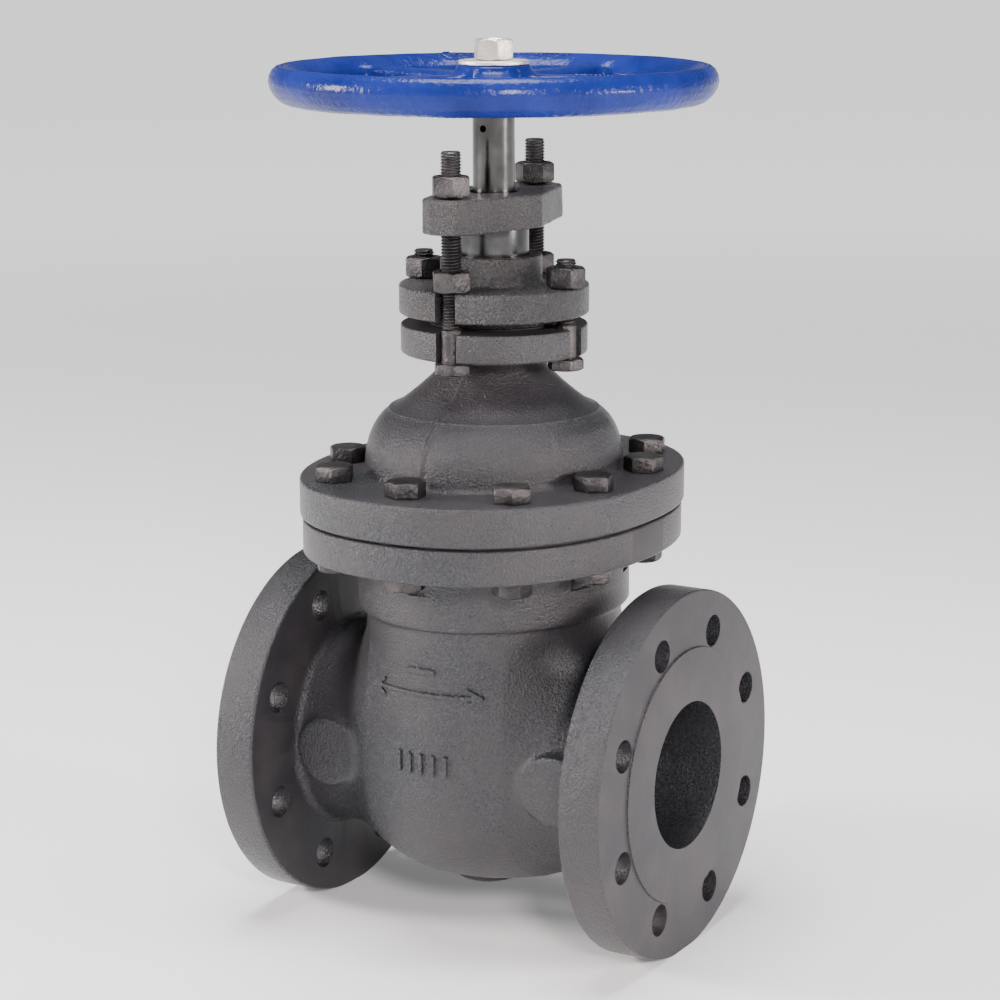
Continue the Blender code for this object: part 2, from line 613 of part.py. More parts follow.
def slots_through(bottom, top, directions):
    """U-shaped slots from the bolt circle out past the rim, one in each direction given in degrees."""
    half = BOX_BOLT_RADIUS + BOLT_CLEARANCE
    shapes = []
    for degrees in directions:
        outline = [(BOX_FLANGE_RADIUS * 1.3, -half), (BOX_FLANGE_RADIUS * 1.3, half)]
        for k in range(9):
            t = math.radians(90 + 180 * k / 8)
            outline.append((BOX_BOLT_CIRCLE_RADIUS + half * math.cos(t), half * math.sin(t)))
        shapes.append(moved(prism(outline, bottom, top), turn("Z", degrees)))
    return together(*shapes)


def make_bonnet():
    neck = [circle(BONNET_NECK_RADIUS, TOP_FLANGE_BOTTOM + PAST, 32)]
    bonnet = add("bonnet", loft(dome(0, 32) + neck), "cast_iron")
    flange = [(x, y) for x, y, _ in oval(BONNET_FLANGE_X, BONNET_FLANGE_Y, 0, FLANGE_EXPONENT, 40)]
    join(bonnet, "joint_flange", prism(flange, BONNET_BOTTOM, BONNET_FLANGE_TOP))
    join(bonnet, "top_flange", rod(TOP_FLANGE_RADIUS, TOP_FLANGE_BOTTOM, TOP_FLANGE_TOP, 32))
    below_bush = [ring for ring in dome(BONNET_WALL, 24) if ring[0][2] < STEM_BUSH_BOTTOM - PAST]
    cut(bonnet, "inside", loft([oval(CHAMBER_X, CHAMBER_Y, BONNET_BOTTOM - PAST, 2.0, 24)] + below_bush))
    past_top = TOP_FLANGE_TOP + PAST
    bush_hole = rod(STEM_BUSH_RADIUS + GAP, DOME_SHOULDER - BONNET_WALL * 2, past_top, 32)
    cut(bonnet, "stem_hole", bush_hole)
    cut(bonnet, "collar_recess", rod(STEM_RECESS_RADIUS, STEM_RECESS_BOTTOM, past_top, 32))
    radius = BONNET_BOLT_RADIUS + BOLT_CLEARANCE
    hole = rod(radius, BONNET_BOTTOM - PAST, BONNET_FLANGE_TOP + PAST, 12)
    cut(bonnet, "bolt_holes", copies(hole, [[shift(x, y)] for x, y, _ in bonnet_bolt_places()]))
    cut(bonnet, "bolt_slots", slots_through(TOP_FLANGE_BOTTOM - PAST, past_top, (0, 90, 180, 270)))
    inner = STEM_RADIUS + GAP
    bush = tube(inner, STEM_BUSH_RADIUS, STEM_BUSH_BOTTOM, STEM_RECESS_BOTTOM - GAP)
    add("stem_bush", bush, "bronze")


def make_bonnet_joint():
    inset = JOINT_GASKET_INSET
    bottom = BODY_TOP + GAP
    upper = bottom + JOINT_GASKET_THICKNESS
    sheet = loft([
        oval(BODY_FLANGE_X - inset, BODY_FLANGE_Y - inset, bottom, FLANGE_EXPONENT, 28),
        oval(BODY_FLANGE_X - inset, BODY_FLANGE_Y - inset, upper, FLANGE_EXPONENT, 28),
        oval(CHAMBER_X, CHAMBER_Y, upper, 2.0, 28),
        oval(CHAMBER_X, CHAMBER_Y, bottom, 2.0, 28),
    ], closed=True)
    gasket = add("bonnet_gasket", sheet, "graphite")
    places = bonnet_bolt_places()
    hole = rod(BONNET_BOLT_RADIUS + BOLT_CLEARANCE, BODY_TOP - PAST, BONNET_BOTTOM + PAST, 12)
    cut(gasket, "bolt_holes", copies(hole, [[shift(x, y)] for x, y, _ in places]))
    head = BONNET_FLANGE_TOP + GAP
    nut = BONNET_NUT_BOTTOM
    for number, (x, y, angle) in enumerate(places, 1):
        facing = (turn("Z", math.degrees(angle) + 30), shift(x, y))
        shank = moved(rod(BONNET_BOLT_RADIUS, nut - BONNET_BOLT_END, head + MM, 12), *facing)
        bolt = add(f"bonnet_bolt_{number:02d}", shank, "dark_steel")
        join(bolt, "head", moved(hexagon(HEX_ACROSS_FLATS, head, head + BOLT_HEAD_HEIGHT), *facing))
        shell = moved(hexagon(HEX_ACROSS_FLATS, nut, nut + NUT_HEIGHT), *facing)
        piece = add(f"bonnet_nut_{number:02d}", shell, "dark_steel")
        thread = rod(BONNET_BOLT_RADIUS + GAP, nut - PAST, nut + NUT_HEIGHT + PAST, 12)
        cut(piece, "thread", moved(thread, *facing))


# ---------------------------------------------------------------- stuffing box and gland
def make_stuffing_box():
    profile = [
        (STEM_COLLAR_RADIUS, PILOT_BOTTOM),
        (STEM_COLLAR_RADIUS, BOX_BOTTOM),
        (BOX_RECESS_RADIUS, BOX_BOTTOM),
        (BOX_RECESS_RADIUS, BOX_FLANGE_BOTTOM),
        (BOX_FLANGE_RADIUS, BOX_FLANGE_BOTTOM),
        (BOX_FLANGE_RADIUS, BOX_FLANGE_TOP),
        (BOX_NECK_RADIUS, BOX_FLANGE_TOP),
        (BOX_NECK_RADIUS, BOX_TOP),
        (PACKING_RADIUS + GAP, BOX_TOP),
        (PACKING_RADIUS + GAP, PACKING_BOTTOM - GAP),
        (STEM_RADIUS + GAP, PACKING_BOTTOM - GAP),
        (STEM_RADIUS + GAP, PILOT_BOTTOM),
    ]
    box = add("stuffing_box", turned(profile, 32, True), "cast_iron")
    cut(box, "gland_bolt_slots", slots_through(BOX_FLANGE_BOTTOM - PAST, BOX_FLANGE_TOP + PAST, (90, 270)))
    hole = rod(BOX_BOLT_RADIUS + GAP, BOX_FLANGE_BOTTOM - PAST, BOX_FLANGE_TOP + PAST, 16)
    places = [[shift(x=sign * BOX_BOLT_CIRCLE_RADIUS)] for sign in SIDES.values()]
    cut(box, "short_bolt_holes", copies(hole, places))
    seat = TOP_FLANGE_TOP + GAP
    gasket = tube(STEM_RECESS_RADIUS + MM, BOX_RECESS_RADIUS, seat, seat + BOX_SEAT_GASKET)
    add("stuffing_box_gasket", gasket, "graphite")
    for number in range(PACKING_RINGS):
        bottom = PACKING_BOTTOM + number * (PACKING_HEIGHT + GAP)
        ring = tube(STEM_RADIUS + GAP, PACKING_RADIUS, bottom, bottom + PACKING_HEIGHT, 16)
        add(f"packing_ring_{number + 1}", ring, "graphite")


def gland_outline():
    """Lozenge with a round lobe about each gland bolt and a blunt corner on each side."""
    points = []
    lobe = BOX_BOLT_CIRCLE_RADIUS
    lean = math.degrees(math.atan2(GLAND_HALF_WIDTH - GLAND_LOBE_RADIUS, lobe))
    for centre, start in ((lobe, lean), (-lobe, 180 + lean)):
        for k in range(9):
            t = math.radians(start + (180 - 2 * lean) * k / 8)
            around = GLAND_LOBE_RADIUS * math.cos(t), centre + GLAND_LOBE_RADIUS * math.sin(t)
            points.append(around)
        points.append((-GLAND_HALF_WIDTH if centre > 0 else GLAND_HALF_WIDTH, 0.0))
    return points


def make_gland():
    bottom = PACKING_TOP + GAP
    socket = GLAND_BOTTOM + GLAND_SOCKET_DEPTH
    add("gland_follower", tube(STEM_RADIUS + GAP, PACKING_RADIUS, bottom, socket - GAP), "bright_steel")
    gland = add("gland_flange", prism(gland_outline(), GLAND_BOTTOM, GLAND_TOP), "cast_iron")
    profile = [
        (PACKING_RADIUS + GAP, GLAND_BOTTOM - PAST),
        (PACKING_RADIUS + GAP, socket),
        (STEM_RADIUS + GLAND_STEM_CLEARANCE, socket),
        (STEM_RADIUS + GLAND_STEM_CLEARANCE, GLAND_TOP + PAST),
    ]
    cut(gland, "stem_hole", turned(profile, 32))
    hole = rod(BOX_BOLT_RADIUS + BOLT_CLEARANCE, GLAND_BOTTOM - PAST, GLAND_TOP + PAST, 16)
    cut(gland, "bolt_holes", copies(hole, [[shift(y=sign * BOX_BOLT_CIRCLE_RADIUS)] for sign in (-1, 1)]))


def make_small_nut(name, bottom, place):
    nut = add(name, moved(hexagon(HEX_ACROSS_FLATS, bottom, bottom + NUT_HEIGHT), place), "dark_steel")
    thread = rod(BOX_BOLT_RADIUS + GAP, bottom - PAST, bottom + NUT_HEIGHT + PAST, 12)
    cut(nut, "thread", moved(thread, place))


def make_small_bolts():
    head = TOP_FLANGE_BOTTOM - GAP - BOX_BOLT_HEAD_HEIGHT
    box_nut = BOX_FLANGE_TOP + GAP
    short_end = box_nut + NUT_HEIGHT + BOX_BOLT_END
    for name, degrees, end in (
        ("gland_bolt_front", 270, GLAND_BOLT_TOP),
        ("gland_bolt_back", 90, GLAND_BOLT_TOP),
        ("box_bolt_right", 0, short_end),
        ("box_bolt_left", 180, short_end),
    ):
        place = turn("Z", degrees) @ shift(x=BOX_BOLT_CIRCLE_RADIUS)
        bolt = add(name, moved(rod(BOX_BOLT_RADIUS, head + MM, end, 12), place), "dark_steel")
        shape = hexagon(BOX_HEAD_ACROSS_FLATS, head, head + BOX_BOLT_HEAD_HEIGHT)
        join(bolt, "head", moved(shape, place))
        make_small_nut(name.replace("bolt", "bolt_nut"), box_nut, place)
        if end == GLAND_BOLT_TOP:
            make_small_nut(name.replace("bolt", "top_nut"), GLAND_TOP + GAP, place)


# ---------------------------------------------------------------- stem and handwheel
def make_stem():
    profile = [
        (STEM_RADIUS, STEM_BOTTOM),
        (STEM_RADIUS, STEM_COLLAR_BOTTOM),
        (STEM_COLLAR_RADIUS, STEM_COLLAR_BOTTOM),
        (STEM_COLLAR_RADIUS, STEM_COLLAR_TOP),
        (STEM_RADIUS, STEM_COLLAR_TOP),
        (STEM_RADIUS, HUB_BOTTOM - GAP),
        (STEM_END_RADIUS, HUB_BOTTOM - GAP),
        (STEM_END_RADIUS, WHEEL_NUT_TOP - MM),
    ]
    stem = add("stem", turned(profile, 24), "bright_steel")
    half = STEM_SQUARE / 2
    join(stem, "square", block((-half, -half, HUB_BOTTOM - MM), (half, half, HUB_TOP - MM)))
    hole = HUB_BOTTOM - STEM_CROSS_HOLE_DROP
    pin = rod(STEM_CROSS_HOLE_RADIUS, -STEM_RADIUS - PAST, STEM_RADIUS + PAST, 12)
    cut(stem, "cross_hole", moved(pin, ALONG_Y, shift(z=hole)))


def spoke(degrees):
    """One arm, a flattened octagon in section, that widens into the hub and the rim."""
    start = HUB_RADIUS * 0.9
    end = RIM_RADIUS - RIM_WIDTH / 4
    hub_z = (HUB_BOTTOM + HUB_TOP) / 2
    corner = math.radians(22.5)
    rings = []
    for part, width, height in ((0, 1.25, 1.3), (0.18, 1.0, 1.0), (0.8, 1.0, 1.0), (1, 1.2, 1.1)):
        x = start + (end - start) * part
        z = hub_z + (RIM_CENTRE - hub_z) * part
        a = SPOKE_WIDTH * width / 2 / math.cos(corner)
        b = SPOKE_HEIGHT * height / 2 / math.cos(corner)
        turns = [corner + math.radians(45 * k) for k in range(8)]
        rings.append([(x, a * math.cos(t), z + b * math.sin(t)) for t in turns])
    return moved(loft(rings), turn("Z", degrees))


def make_handwheel():
    section = []
    for k in range(10):
        t = 2 * math.pi * k / 10
        r = RIM_RADIUS + RIM_WIDTH / 2 * math.cos(t)
        section.append((r, RIM_CENTRE + RIM_HEIGHT / 2 * math.sin(t)))
    wheel = add("handwheel", turned(section, 40, True), "blue_enamel")
    join(wheel, "hub", rod(HUB_RADIUS, HUB_BOTTOM, HUB_TOP, 24))
    for number in range(SPOKES):
        join(wheel, f"spoke_{number + 1}", spoke(FIRST_SPOKE + 360 * number / SPOKES))
    half = STEM_SQUARE / 2 + GAP
    cut(wheel, "square_hole", block((-half, -half, HUB_BOTTOM - PAST), (half, half, HUB_TOP + PAST)))
    hole = STEM_END_RADIUS + BOLT_CLEARANCE
    washer = tube(hole, WASHER_RADIUS, WASHER_BOTTOM, WASHER_BOTTOM + WASHER_THICKNESS)
    add("wheel_washer", washer, "zinc_plate")
    nut = add("wheel_nut", hexagon(HEX_ACROSS_FLATS, WHEEL_NUT_BOTTOM, WHEEL_NUT_TOP), "zinc_plate")
    cut(nut, "thread", rod(STEM_END_RADIUS + GAP, WHEEL_NUT_BOTTOM - PAST, WHEEL_NUT_TOP + PAST, 16))


make_body()
for side, sign in SIDES.items():
    make_seat_ring(side, sign)
make_wedge()
make_bonnet()
make_bonnet_joint()
make_stuffing_box()
make_gland()
make_small_bolts()
make_stem()
make_handwheel()
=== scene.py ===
# %% [markdown]
# # A flanged gate valve, finished for rendering
#
# The valve closes a 100 mm pipe with a wedge that a handwheel winds up and down. The engineering
# model, loaded below as a frame, already has every part at its real size and place, but its
# surfaces are coarse. This script gives each visible part a fine mesh and a finish, one part at a
# time: sand-cast iron for the castings, turned steel, zinc plate, and enamel for the handwheel.

# %% Load the frame
import bpy
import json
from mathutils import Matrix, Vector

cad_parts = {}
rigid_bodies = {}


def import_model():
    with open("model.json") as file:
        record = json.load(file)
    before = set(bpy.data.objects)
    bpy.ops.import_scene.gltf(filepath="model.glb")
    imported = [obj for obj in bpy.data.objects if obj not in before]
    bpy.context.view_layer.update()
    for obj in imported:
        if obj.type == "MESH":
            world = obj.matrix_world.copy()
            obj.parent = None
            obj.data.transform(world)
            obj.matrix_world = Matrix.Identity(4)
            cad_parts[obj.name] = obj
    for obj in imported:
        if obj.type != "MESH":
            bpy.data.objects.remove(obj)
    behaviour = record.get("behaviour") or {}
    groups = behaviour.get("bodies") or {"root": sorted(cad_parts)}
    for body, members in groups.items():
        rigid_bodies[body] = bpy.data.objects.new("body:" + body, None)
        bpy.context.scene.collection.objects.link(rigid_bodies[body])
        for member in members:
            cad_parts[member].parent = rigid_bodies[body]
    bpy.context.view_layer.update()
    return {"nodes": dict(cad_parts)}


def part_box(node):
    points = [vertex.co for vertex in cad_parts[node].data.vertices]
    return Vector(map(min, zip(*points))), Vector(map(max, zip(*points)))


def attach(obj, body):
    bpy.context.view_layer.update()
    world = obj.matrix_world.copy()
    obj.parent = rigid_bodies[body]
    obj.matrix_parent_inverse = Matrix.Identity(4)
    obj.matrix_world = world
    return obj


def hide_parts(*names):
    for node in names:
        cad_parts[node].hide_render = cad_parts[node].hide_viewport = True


for leftover in list(bpy.data.objects):      # the cube, lamp and camera of a new file
    bpy.data.objects.remove(leftover)
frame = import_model()

import json
import math

import numpy as np
from mathutils import Matrix, Vector

MM = 0.001
FIT = 0.3 * MM            # gap between parts that touch in the real valve

# %% [markdown]
# ## Sizes
#
# Everything hangs on a few axes and levels. They are read from the boxes of the engineering parts,
# so that the fine parts land where the coarse ones are. The pipe runs along X, and its height is
# the middle of a seat ring. The stem stands on the Z axis.

# %% Levels and radii


def bottom(node):
    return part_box(node)[0].z


def top(node):
    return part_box(node)[1].z


seat_low, seat_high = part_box("seat_ring_right")
PIPE_HEIGHT = (seat_low.z + seat_high.z) / 2
PIPE_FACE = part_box("body")[1].x
BORE_RADIUS = 50.8 * MM
PIPE_FLANGE_RADIUS = 127.0 * MM
PIPE_FLANGE_THICKNESS = 31.75 * MM
RAISED_FACE_RADIUS = 88.1 * MM
RAISED_FACE_HEIGHT = 1.6 * MM
FLANGE_BACK = PIPE_FACE - PIPE_FLANGE_THICKNESS
NECK_RADIUS = 72.0 * MM
BODY_TOP = top("body")
BONNET_BOTTOM = bottom("bonnet")
BONNET_TOP = top("bonnet")
JOINT_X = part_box("bonnet")[1].x
JOINT_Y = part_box("bonnet")[1].y
print(f"pipe axis {PIPE_HEIGHT / MM:.1f} mm up, flange face at {PIPE_FACE / MM:.1f} mm")
print(f"joint flange {2 * JOINT_X / MM:.1f} x {2 * JOINT_Y / MM:.1f} mm")

# %% [markdown]
# ## Shader arithmetic
#
# A finish is a small network of nodes. Written by hand it is long, so a socket is wrapped in a
# class that knows arithmetic: `1 - mask` adds the Math node it needs. Any other node comes from
# `node`, which sets the node's options first and then its sockets.

# %% The Value class


class Value:
    """One socket of a node tree."""

    def __init__(self, tree, socket):
        self.tree = tree
        self.socket = socket

    def node(self, kind, settings=None, sockets=None, output=0):
        made = self.tree.nodes.new(kind)
        for name, setting in (settings or {}).items():
            setattr(made, name, setting)
        for name, value in (sockets or {}).items():
            if isinstance(value, Value):
                self.tree.links.new(value.socket, made.inputs[name])
            else:
                made.inputs[name].default_value = value
        return Value(self.tree, made.outputs[output])

    def math(self, operation, *values):
        sockets = dict(enumerate(values))
        return self.node("ShaderNodeMath", {"operation": operation}, sockets)

    def __add__(self, other):
        return self.math("ADD", self, other)

    def __radd__(self, other):
        return self.math("ADD", other, self)

    def __sub__(self, other):
        return self.math("SUBTRACT", self, other)

    def __rsub__(self, other):
        return self.math("SUBTRACT", other, self)

    def __mul__(self, other):
        return self.math("MULTIPLY", self, other)

    def __rmul__(self, other):
        return self.math("MULTIPLY", other, self)

    def ramp(self, low, high):
        """0 below low, 1 above high, smooth between."""
        settings = {"interpolation_type": "SMOOTHSTEP"}
        sockets = {"Value": self, "From Min": low, "From Max": high}
        return self.node("ShaderNodeMapRange", settings, sockets)

    def noise(self, scale, detail=3.0, roughness=0.55):
        """Noise with so many features per metre, and finer layers on top."""
        sockets = {"Vector": self, "Scale": scale, "Detail": detail, "Roughness": roughness}
        return self.node("ShaderNodeTexNoise", {}, sockets)

    def cells(self, scale, feature="F1"):
        return self.node("ShaderNodeTexVoronoi", {"feature": feature}, {"Vector": self, "Scale": scale})

    def length(self):
        return self.node("ShaderNodeVectorMath", {"operation": "LENGTH"}, {0: self}, 1)

    def stretched(self, x, y, z):
        return self.node("ShaderNodeMapping", {}, {"Vector": self, "Scale": (x, y, z)})

    def colour(self, low, high):
        """A colour between two, with this value as the mix."""
        settings = {"data_type": "RGBA"}
        sockets = {0: self, 6: (*low, 1.0) if isinstance(low, tuple) else low}
        sockets[7] = (*high, 1.0) if isinstance(high, tuple) else high
        return self.node("ShaderNodeMix", settings, sockets, 2)


class Finish:
    """A material with its Principled shader, object coordinates and bump."""

    def __init__(self, name, metallic=0.0, **constants):
        self.material = bpy.data.materials.new(name)
        self.material.use_nodes = True
        self.tree = self.material.node_tree
        self.shader = self.tree.nodes["Principled BSDF"]
        self.shader.inputs["Metallic"].default_value = metallic
        for socket, value in constants.items():
            self.shader.inputs[socket.replace("_", " ")].default_value = value
        place = self.tree.nodes.new("ShaderNodeTexCoord")
        self.place = Value(self.tree, place.outputs["Object"])

    def feed(self, socket, value):
        if isinstance(value, Value):
            self.tree.links.new(value.socket, self.shader.inputs[socket])
        else:
            self.shader.inputs[socket].default_value = value

    def bump(self, *layers):
        """Stacks (height value, depth in metres) layers into one normal."""
        normal = None
        for height, depth in layers:
            sockets = {"Height": height, "Distance": depth, "Strength": 1.0}
            if normal is not None:
                sockets["Normal"] = normal
            normal = self.place.node("ShaderNodeBump", {}, sockets)
        self.feed("Normal", normal)


print("shader helpers ready")

# %% [markdown]
# ## Cast iron
#
# The castings are grey iron poured in sand, blasted and dipped in a thin dark primer. Close up the
# surface is a grain of about a millimetre with a few pits, and at arm's length it has soft
# lumps. The colour is a charcoal with random warm and cool patches, and the raised tops of the grain
# are painted lighter as a painted highlight, so the hollows between them read as painted shade. Noise
# at three sizes gives the lumps, the grain and the tone, because one size alone looks like plastic.

# %% Cast iron finishes


def cast_iron(name, base, warm, gloss, grain=1.0):
    """Sand-cast iron between two colours, with the grain tops painted lighter as a painted highlight. Gloss
    is the least roughness, grain the depth.
    """
    finish = Finish(name, IOR=1.5)
    place = finish.place
    lumps = place.noise(60, 2.0)
    sand = place.noise(640, 3.0, 0.55)
    pits = place.cells(300)
    patches = place.noise(9, 3.0).ramp(0.35, 0.68)
    # Painted highlight: where the sand grain stands highest its colour is made lighter, standing in for
    # light raking over it.
    painted_grain_highlight = sand.ramp(0.42, 0.72)
    tone = patches.colour(base, warm)
    grain_highlight_colour = tuple(min(1.0, 2.6 * c) for c in warm)
    finish.feed("Base Color", (painted_grain_highlight * 0.35).colour(tone, grain_highlight_colour))
    finish.feed("Roughness", gloss + 0.18 * sand + 0.08 * patches)
    pit_depth = 1 - pits.ramp(0.05, 0.32)
    relief = sand * 0.75 + lumps * 0.25
    finish.bump((relief, 1.5 * MM * grain), (pit_depth * patches, -0.25 * MM * grain))
    return finish.material


cast = cast_iron("cast_iron_skin", (0.018, 0.020, 0.024), (0.031, 0.027, 0.030), 0.18)
rough_cast = cast_iron("cast_iron_rough", (0.017, 0.018, 0.020), (0.036, 0.032, 0.033), 0.16, 1.9)
print("cast iron:", cast.name, rough_cast.name)

# %% [markdown]
# Where a cutter has faced the iron, on the pipe joints and the bonnet joint, the same primer lies
# on fine concentric tool marks. The marks are rings about the pipe axis, so the pattern is a
# wave of the distance from that axis, and only its faint relief and gloss show.

# %% Machined iron
TOOL_MARKS = 7000          # radians per metre of radius, a ring each 0.9 mm


def faced_iron():
    finish = Finish("faced_iron", IOR=1.45)
    place = finish.place
    centred = place.node("ShaderNodeMapping", {}, {"Vector": place, "Location": (0, 0, -PIPE_HEIGHT)})
    radius = centred.stretched(0, 1, 1).length()
    marks = radius.math("SINE", radius * TOOL_MARKS)
    wear = place.noise(30, 3.0)
    grain = place.noise(700, 3.0, 0.6)
    finish.feed("Base Color", wear.ramp(0.3, 0.7).colour((0.022, 0.022, 0.026), (0.040, 0.034, 0.037)))
    finish.feed("Roughness", 0.40 + 0.14 * grain)
    finish.bump((marks * 0.5, 0.02 * MM), (grain, 0.10 * MM))
    return finish.material


faced = faced_iron()
print("machined iron:", faced.name)

# %% [markdown]
# ## Steels, zinc, bronze and graphite
#
# The bolts and nuts are dark, rough steel with oil in the grain. The stem and the
# gland tube are turned and polished, so their marks run round them: the noise is squeezed along Z.
# The nut and washer on top of the wheel have a pale warm zinc plate.

# %% Metal finishes


def metal(name, low, high, gloss, grain=0.06, turned=False, scale=260):
    """Bare metal between two colours, with a grain so many millimetres deep."""
    finish = Finish(name, metallic=1.0)
    place = finish.place.stretched(1, 1, 14) if turned else finish.place
    streaks = place.noise(scale, 3.0, 0.6)
    stain = finish.place.noise(55, 3.0).ramp(0.3, 0.7)
    finish.feed("Base Color", (stain * 0.7 + streaks * 0.3).colour(low, high))
    finish.feed("Roughness", gloss + 0.16 * streaks + 0.05 * stain)
    finish.bump((streaks, grain * MM))
    return finish.material


rough = {"scale": 420}
polished = {"grain": 0.012, "turned": True}
bolt_steel = metal("dark_bolting_steel", (0.030, 0.030, 0.032), (0.12, 0.110, 0.110), 0.34, 0.9, **rough)
stem_steel = metal("polished_stem_steel", (0.075, 0.073, 0.072), (0.15, 0.146, 0.142), 0.10, **polished)
tube_steel = metal("bright_gland_steel", (0.055, 0.056, 0.058), (0.11, 0.11, 0.108), 0.15, **polished)
zinc = metal("zinc_plate", (0.74, 0.69, 0.63), (0.97, 0.93, 0.88), 0.36, 0.5, **rough)
bronze = metal("seat_bronze", (0.40, 0.25, 0.10), (0.58, 0.38, 0.17), 0.24, 0.02)
graphite = cast_iron("graphite_packing", (0.010, 0.010, 0.011), (0.022, 0.022, 0.023), 0.55, 0.6)
print("metals ready")

# %% [markdown]
# ## Handwheel enamel
#
# The wheel is an iron casting under a thick glossy blue enamel. Enamel flows as it dries, which
# leaves a low orange peel of a few millimetres over the sand grain. A bump of two noises shapes
# that, and a coat over the base gives the sharp highlight of the gloss.

# %% Blue enamel


def enamel():
    finish = Finish("wheel_enamel", Coat_Weight=0.08, Coat_Roughness=0.12, IOR=1.22)
    place = finish.place
    peel = place.noise(210, 2.0, 0.5)
    grain = place.noise(680, 2.0, 0.5)
    pool = place.noise(24, 2.0).ramp(0.3, 0.7)
    finish.feed("Base Color", pool.colour((0.006, 0.014, 0.120), (0.012, 0.024, 0.185)))
    finish.feed("Roughness", 0.22 + 0.08 * grain)
    finish.bump((peel, 0.9 * MM), (grain, 0.15 * MM))
    return finish.material


blue = enamel()
print("enamel:", blue.name)

# %% [markdown]
# ## Shapes as points and faces
#
# A shape here is an array of points with a list of faces. `loft` skins a stack of rings, and
# `turned` makes the rings of a lathe. Outlines get small arcs at their corners first: an edge with
# no radius catches no light, and a casting with sharp edges reads as a drawing.

# %% Loft, lathe and corner arcs
TURN = 2 * math.pi


def loft(rings, loop=False):
    """Skins rings of equally many points, closed by caps, or by joining the last to the first."""
    rings = np.asarray(rings, float)
    count, around, _ = rings.shape
    index = np.arange(count * around).reshape(count, around)
    lower = index if loop else index[:-1]
    upper = np.roll(index, -1, 0) if loop else index[1:]
    sides = np.stack([lower, np.roll(lower, -1, 1), np.roll(upper, -1, 1), upper], -1)
    faces = sides.reshape(-1, 4).tolist()
    if not loop:
        faces += [index[0, ::-1].tolist(), index[-1].tolist()]
    return rings.reshape(-1, 3), faces


def turned(profile, segments, loop=False):
    """Turns (radius, height) pairs about Z: outer wall upwards first, so that faces look outwards."""
    around = np.arange(segments) * TURN / segments
    rings = [np.stack([r * np.cos(around), r * np.sin(around), 0 * around + z], 1) for r, z in profile]
    return loft(rings, loop)


def oval(a, b, height, exponent=2.0, segments=160):
    """A ring of points round a superellipse of half widths a and b."""
    around = np.arange(segments) * TURN / segments
    level = np.abs(np.cos(around) / a) ** exponent + np.abs(np.sin(around) / b) ** exponent
    spread = level ** (-1 / exponent)
    return np.stack([spread * np.cos(around), spread * np.sin(around), 0 * around + height], 1)


def softened(corners, steps=4):
    """An outline of (x, y, radius) corners, each radius above 0 turned into an arc."""
    outline = []
    for k, (x, y, radius) in enumerate(corners):
        corner = Vector((x, y))
        if not radius:
            outline.append((x, y))
            continue
        back = (Vector(corners[k - 1][:2]) - corner).normalized()
        ahead = (Vector(corners[(k + 1) % len(corners)][:2]) - corner).normalized()
        half = back.angle(ahead) / 2
        centre = corner + (back + ahead).normalized() * radius / math.sin(half)
        start = corner + back * radius / math.tan(half) - centre
        end = corner + ahead * radius / math.tan(half) - centre
        sweep = math.pi - 2 * half
        for t in np.linspace(0, 1, steps + 1):
            weights = math.sin((1 - t) * sweep), math.sin(t * sweep)
            outline.append(tuple(centre + (start * weights[0] + end * weights[1]) / math.sin(sweep)))
    return outline


def lathe(corners, segments=128):
    """A ring turned from a closed outline of (radius, height, corner radius)."""
    return turned(softened(corners), segments, loop=True)


def collar(outer, inner, low, high, edges, segments=128):
    """A plain ring. The four edges go from the outer one below, up and over to the inner one below."""
    walls = (outer, low), (outer, high), (inner, high), (inner, low)
    return lathe([(*wall, edge) for wall, edge in zip(walls, edges)], segments)


def moved(shape, *matrices):
    points, faces = shape
    for matrix in matrices:
        matrix = np.array(matrix)
        points = points @ matrix[:3, :3].T + matrix[:3, 3]
    return points, faces


def together(*shapes):
    points, faces = [], []
    for shape_points, shape_faces in shapes:
        start = sum(len(p) for p in points)
        points.append(shape_points)
        faces += [[start + i for i in face] for face in shape_faces]
    return np.vstack(points), faces


def shift(x=0.0, y=0.0, z=0.0):
    return Matrix.Translation((x, y, z))


def turn(axis, degrees):
    return Matrix.Rotation(math.radians(degrees), 4, axis)


def rod(radius, bottom, top, segments=96):
    return turned([(radius, bottom), (radius, top)], segments)


def block(low, high):
    (x0, y0, z0), (x1, y1, z1) = low, high
    base = [(x0, y0), (x1, y0), (x1, y1), (x0, y1)]
    return loft([[(x, y, z) for x, y in base] for z in (z0, z1)])


PIPE_AXIS = shift(z=PIPE_HEIGHT)
ALONG_X = turn("Y", 90)
SIDES = {"right": turn("Z", 0), "left": turn("Z", 180)}
sample = rod(5 * MM, 0, 10 * MM)
print("a turned rod has", len(sample[0]), "points and", len(sample[1]), "faces")

# %% [markdown]
# `worked` runs Boolean steps through Blender's Manifold solver, which is quick and exact on closed
# shapes, and hands back a plain shape. `finished` makes the object, sets its shading, gives it its
# finishes, ties it to its body and hides the engineering parts it stands for.

# %% Boolean steps and finished pieces


def added(name, data):
    """A new object of the scene."""
    holder = bpy.data.objects.new(name, data)
    bpy.context.scene.collection.objects.link(holder)
    return holder


def linked(name, shape):
    points, faces = shape
    mesh = bpy.data.meshes.new(name)
    mesh.from_pydata(points.tolist(), [], faces)
    return added(name, mesh)


def evaluated(piece, *helpers):
    """The mesh after modifiers, with the objects that made it removed."""
    mesh = bpy.data.meshes.new_from_object(piece.evaluated_get(bpy.context.evaluated_depsgraph_get()))
    for helper in (piece, *helpers):
        bpy.data.objects.remove(helper)
    return mesh


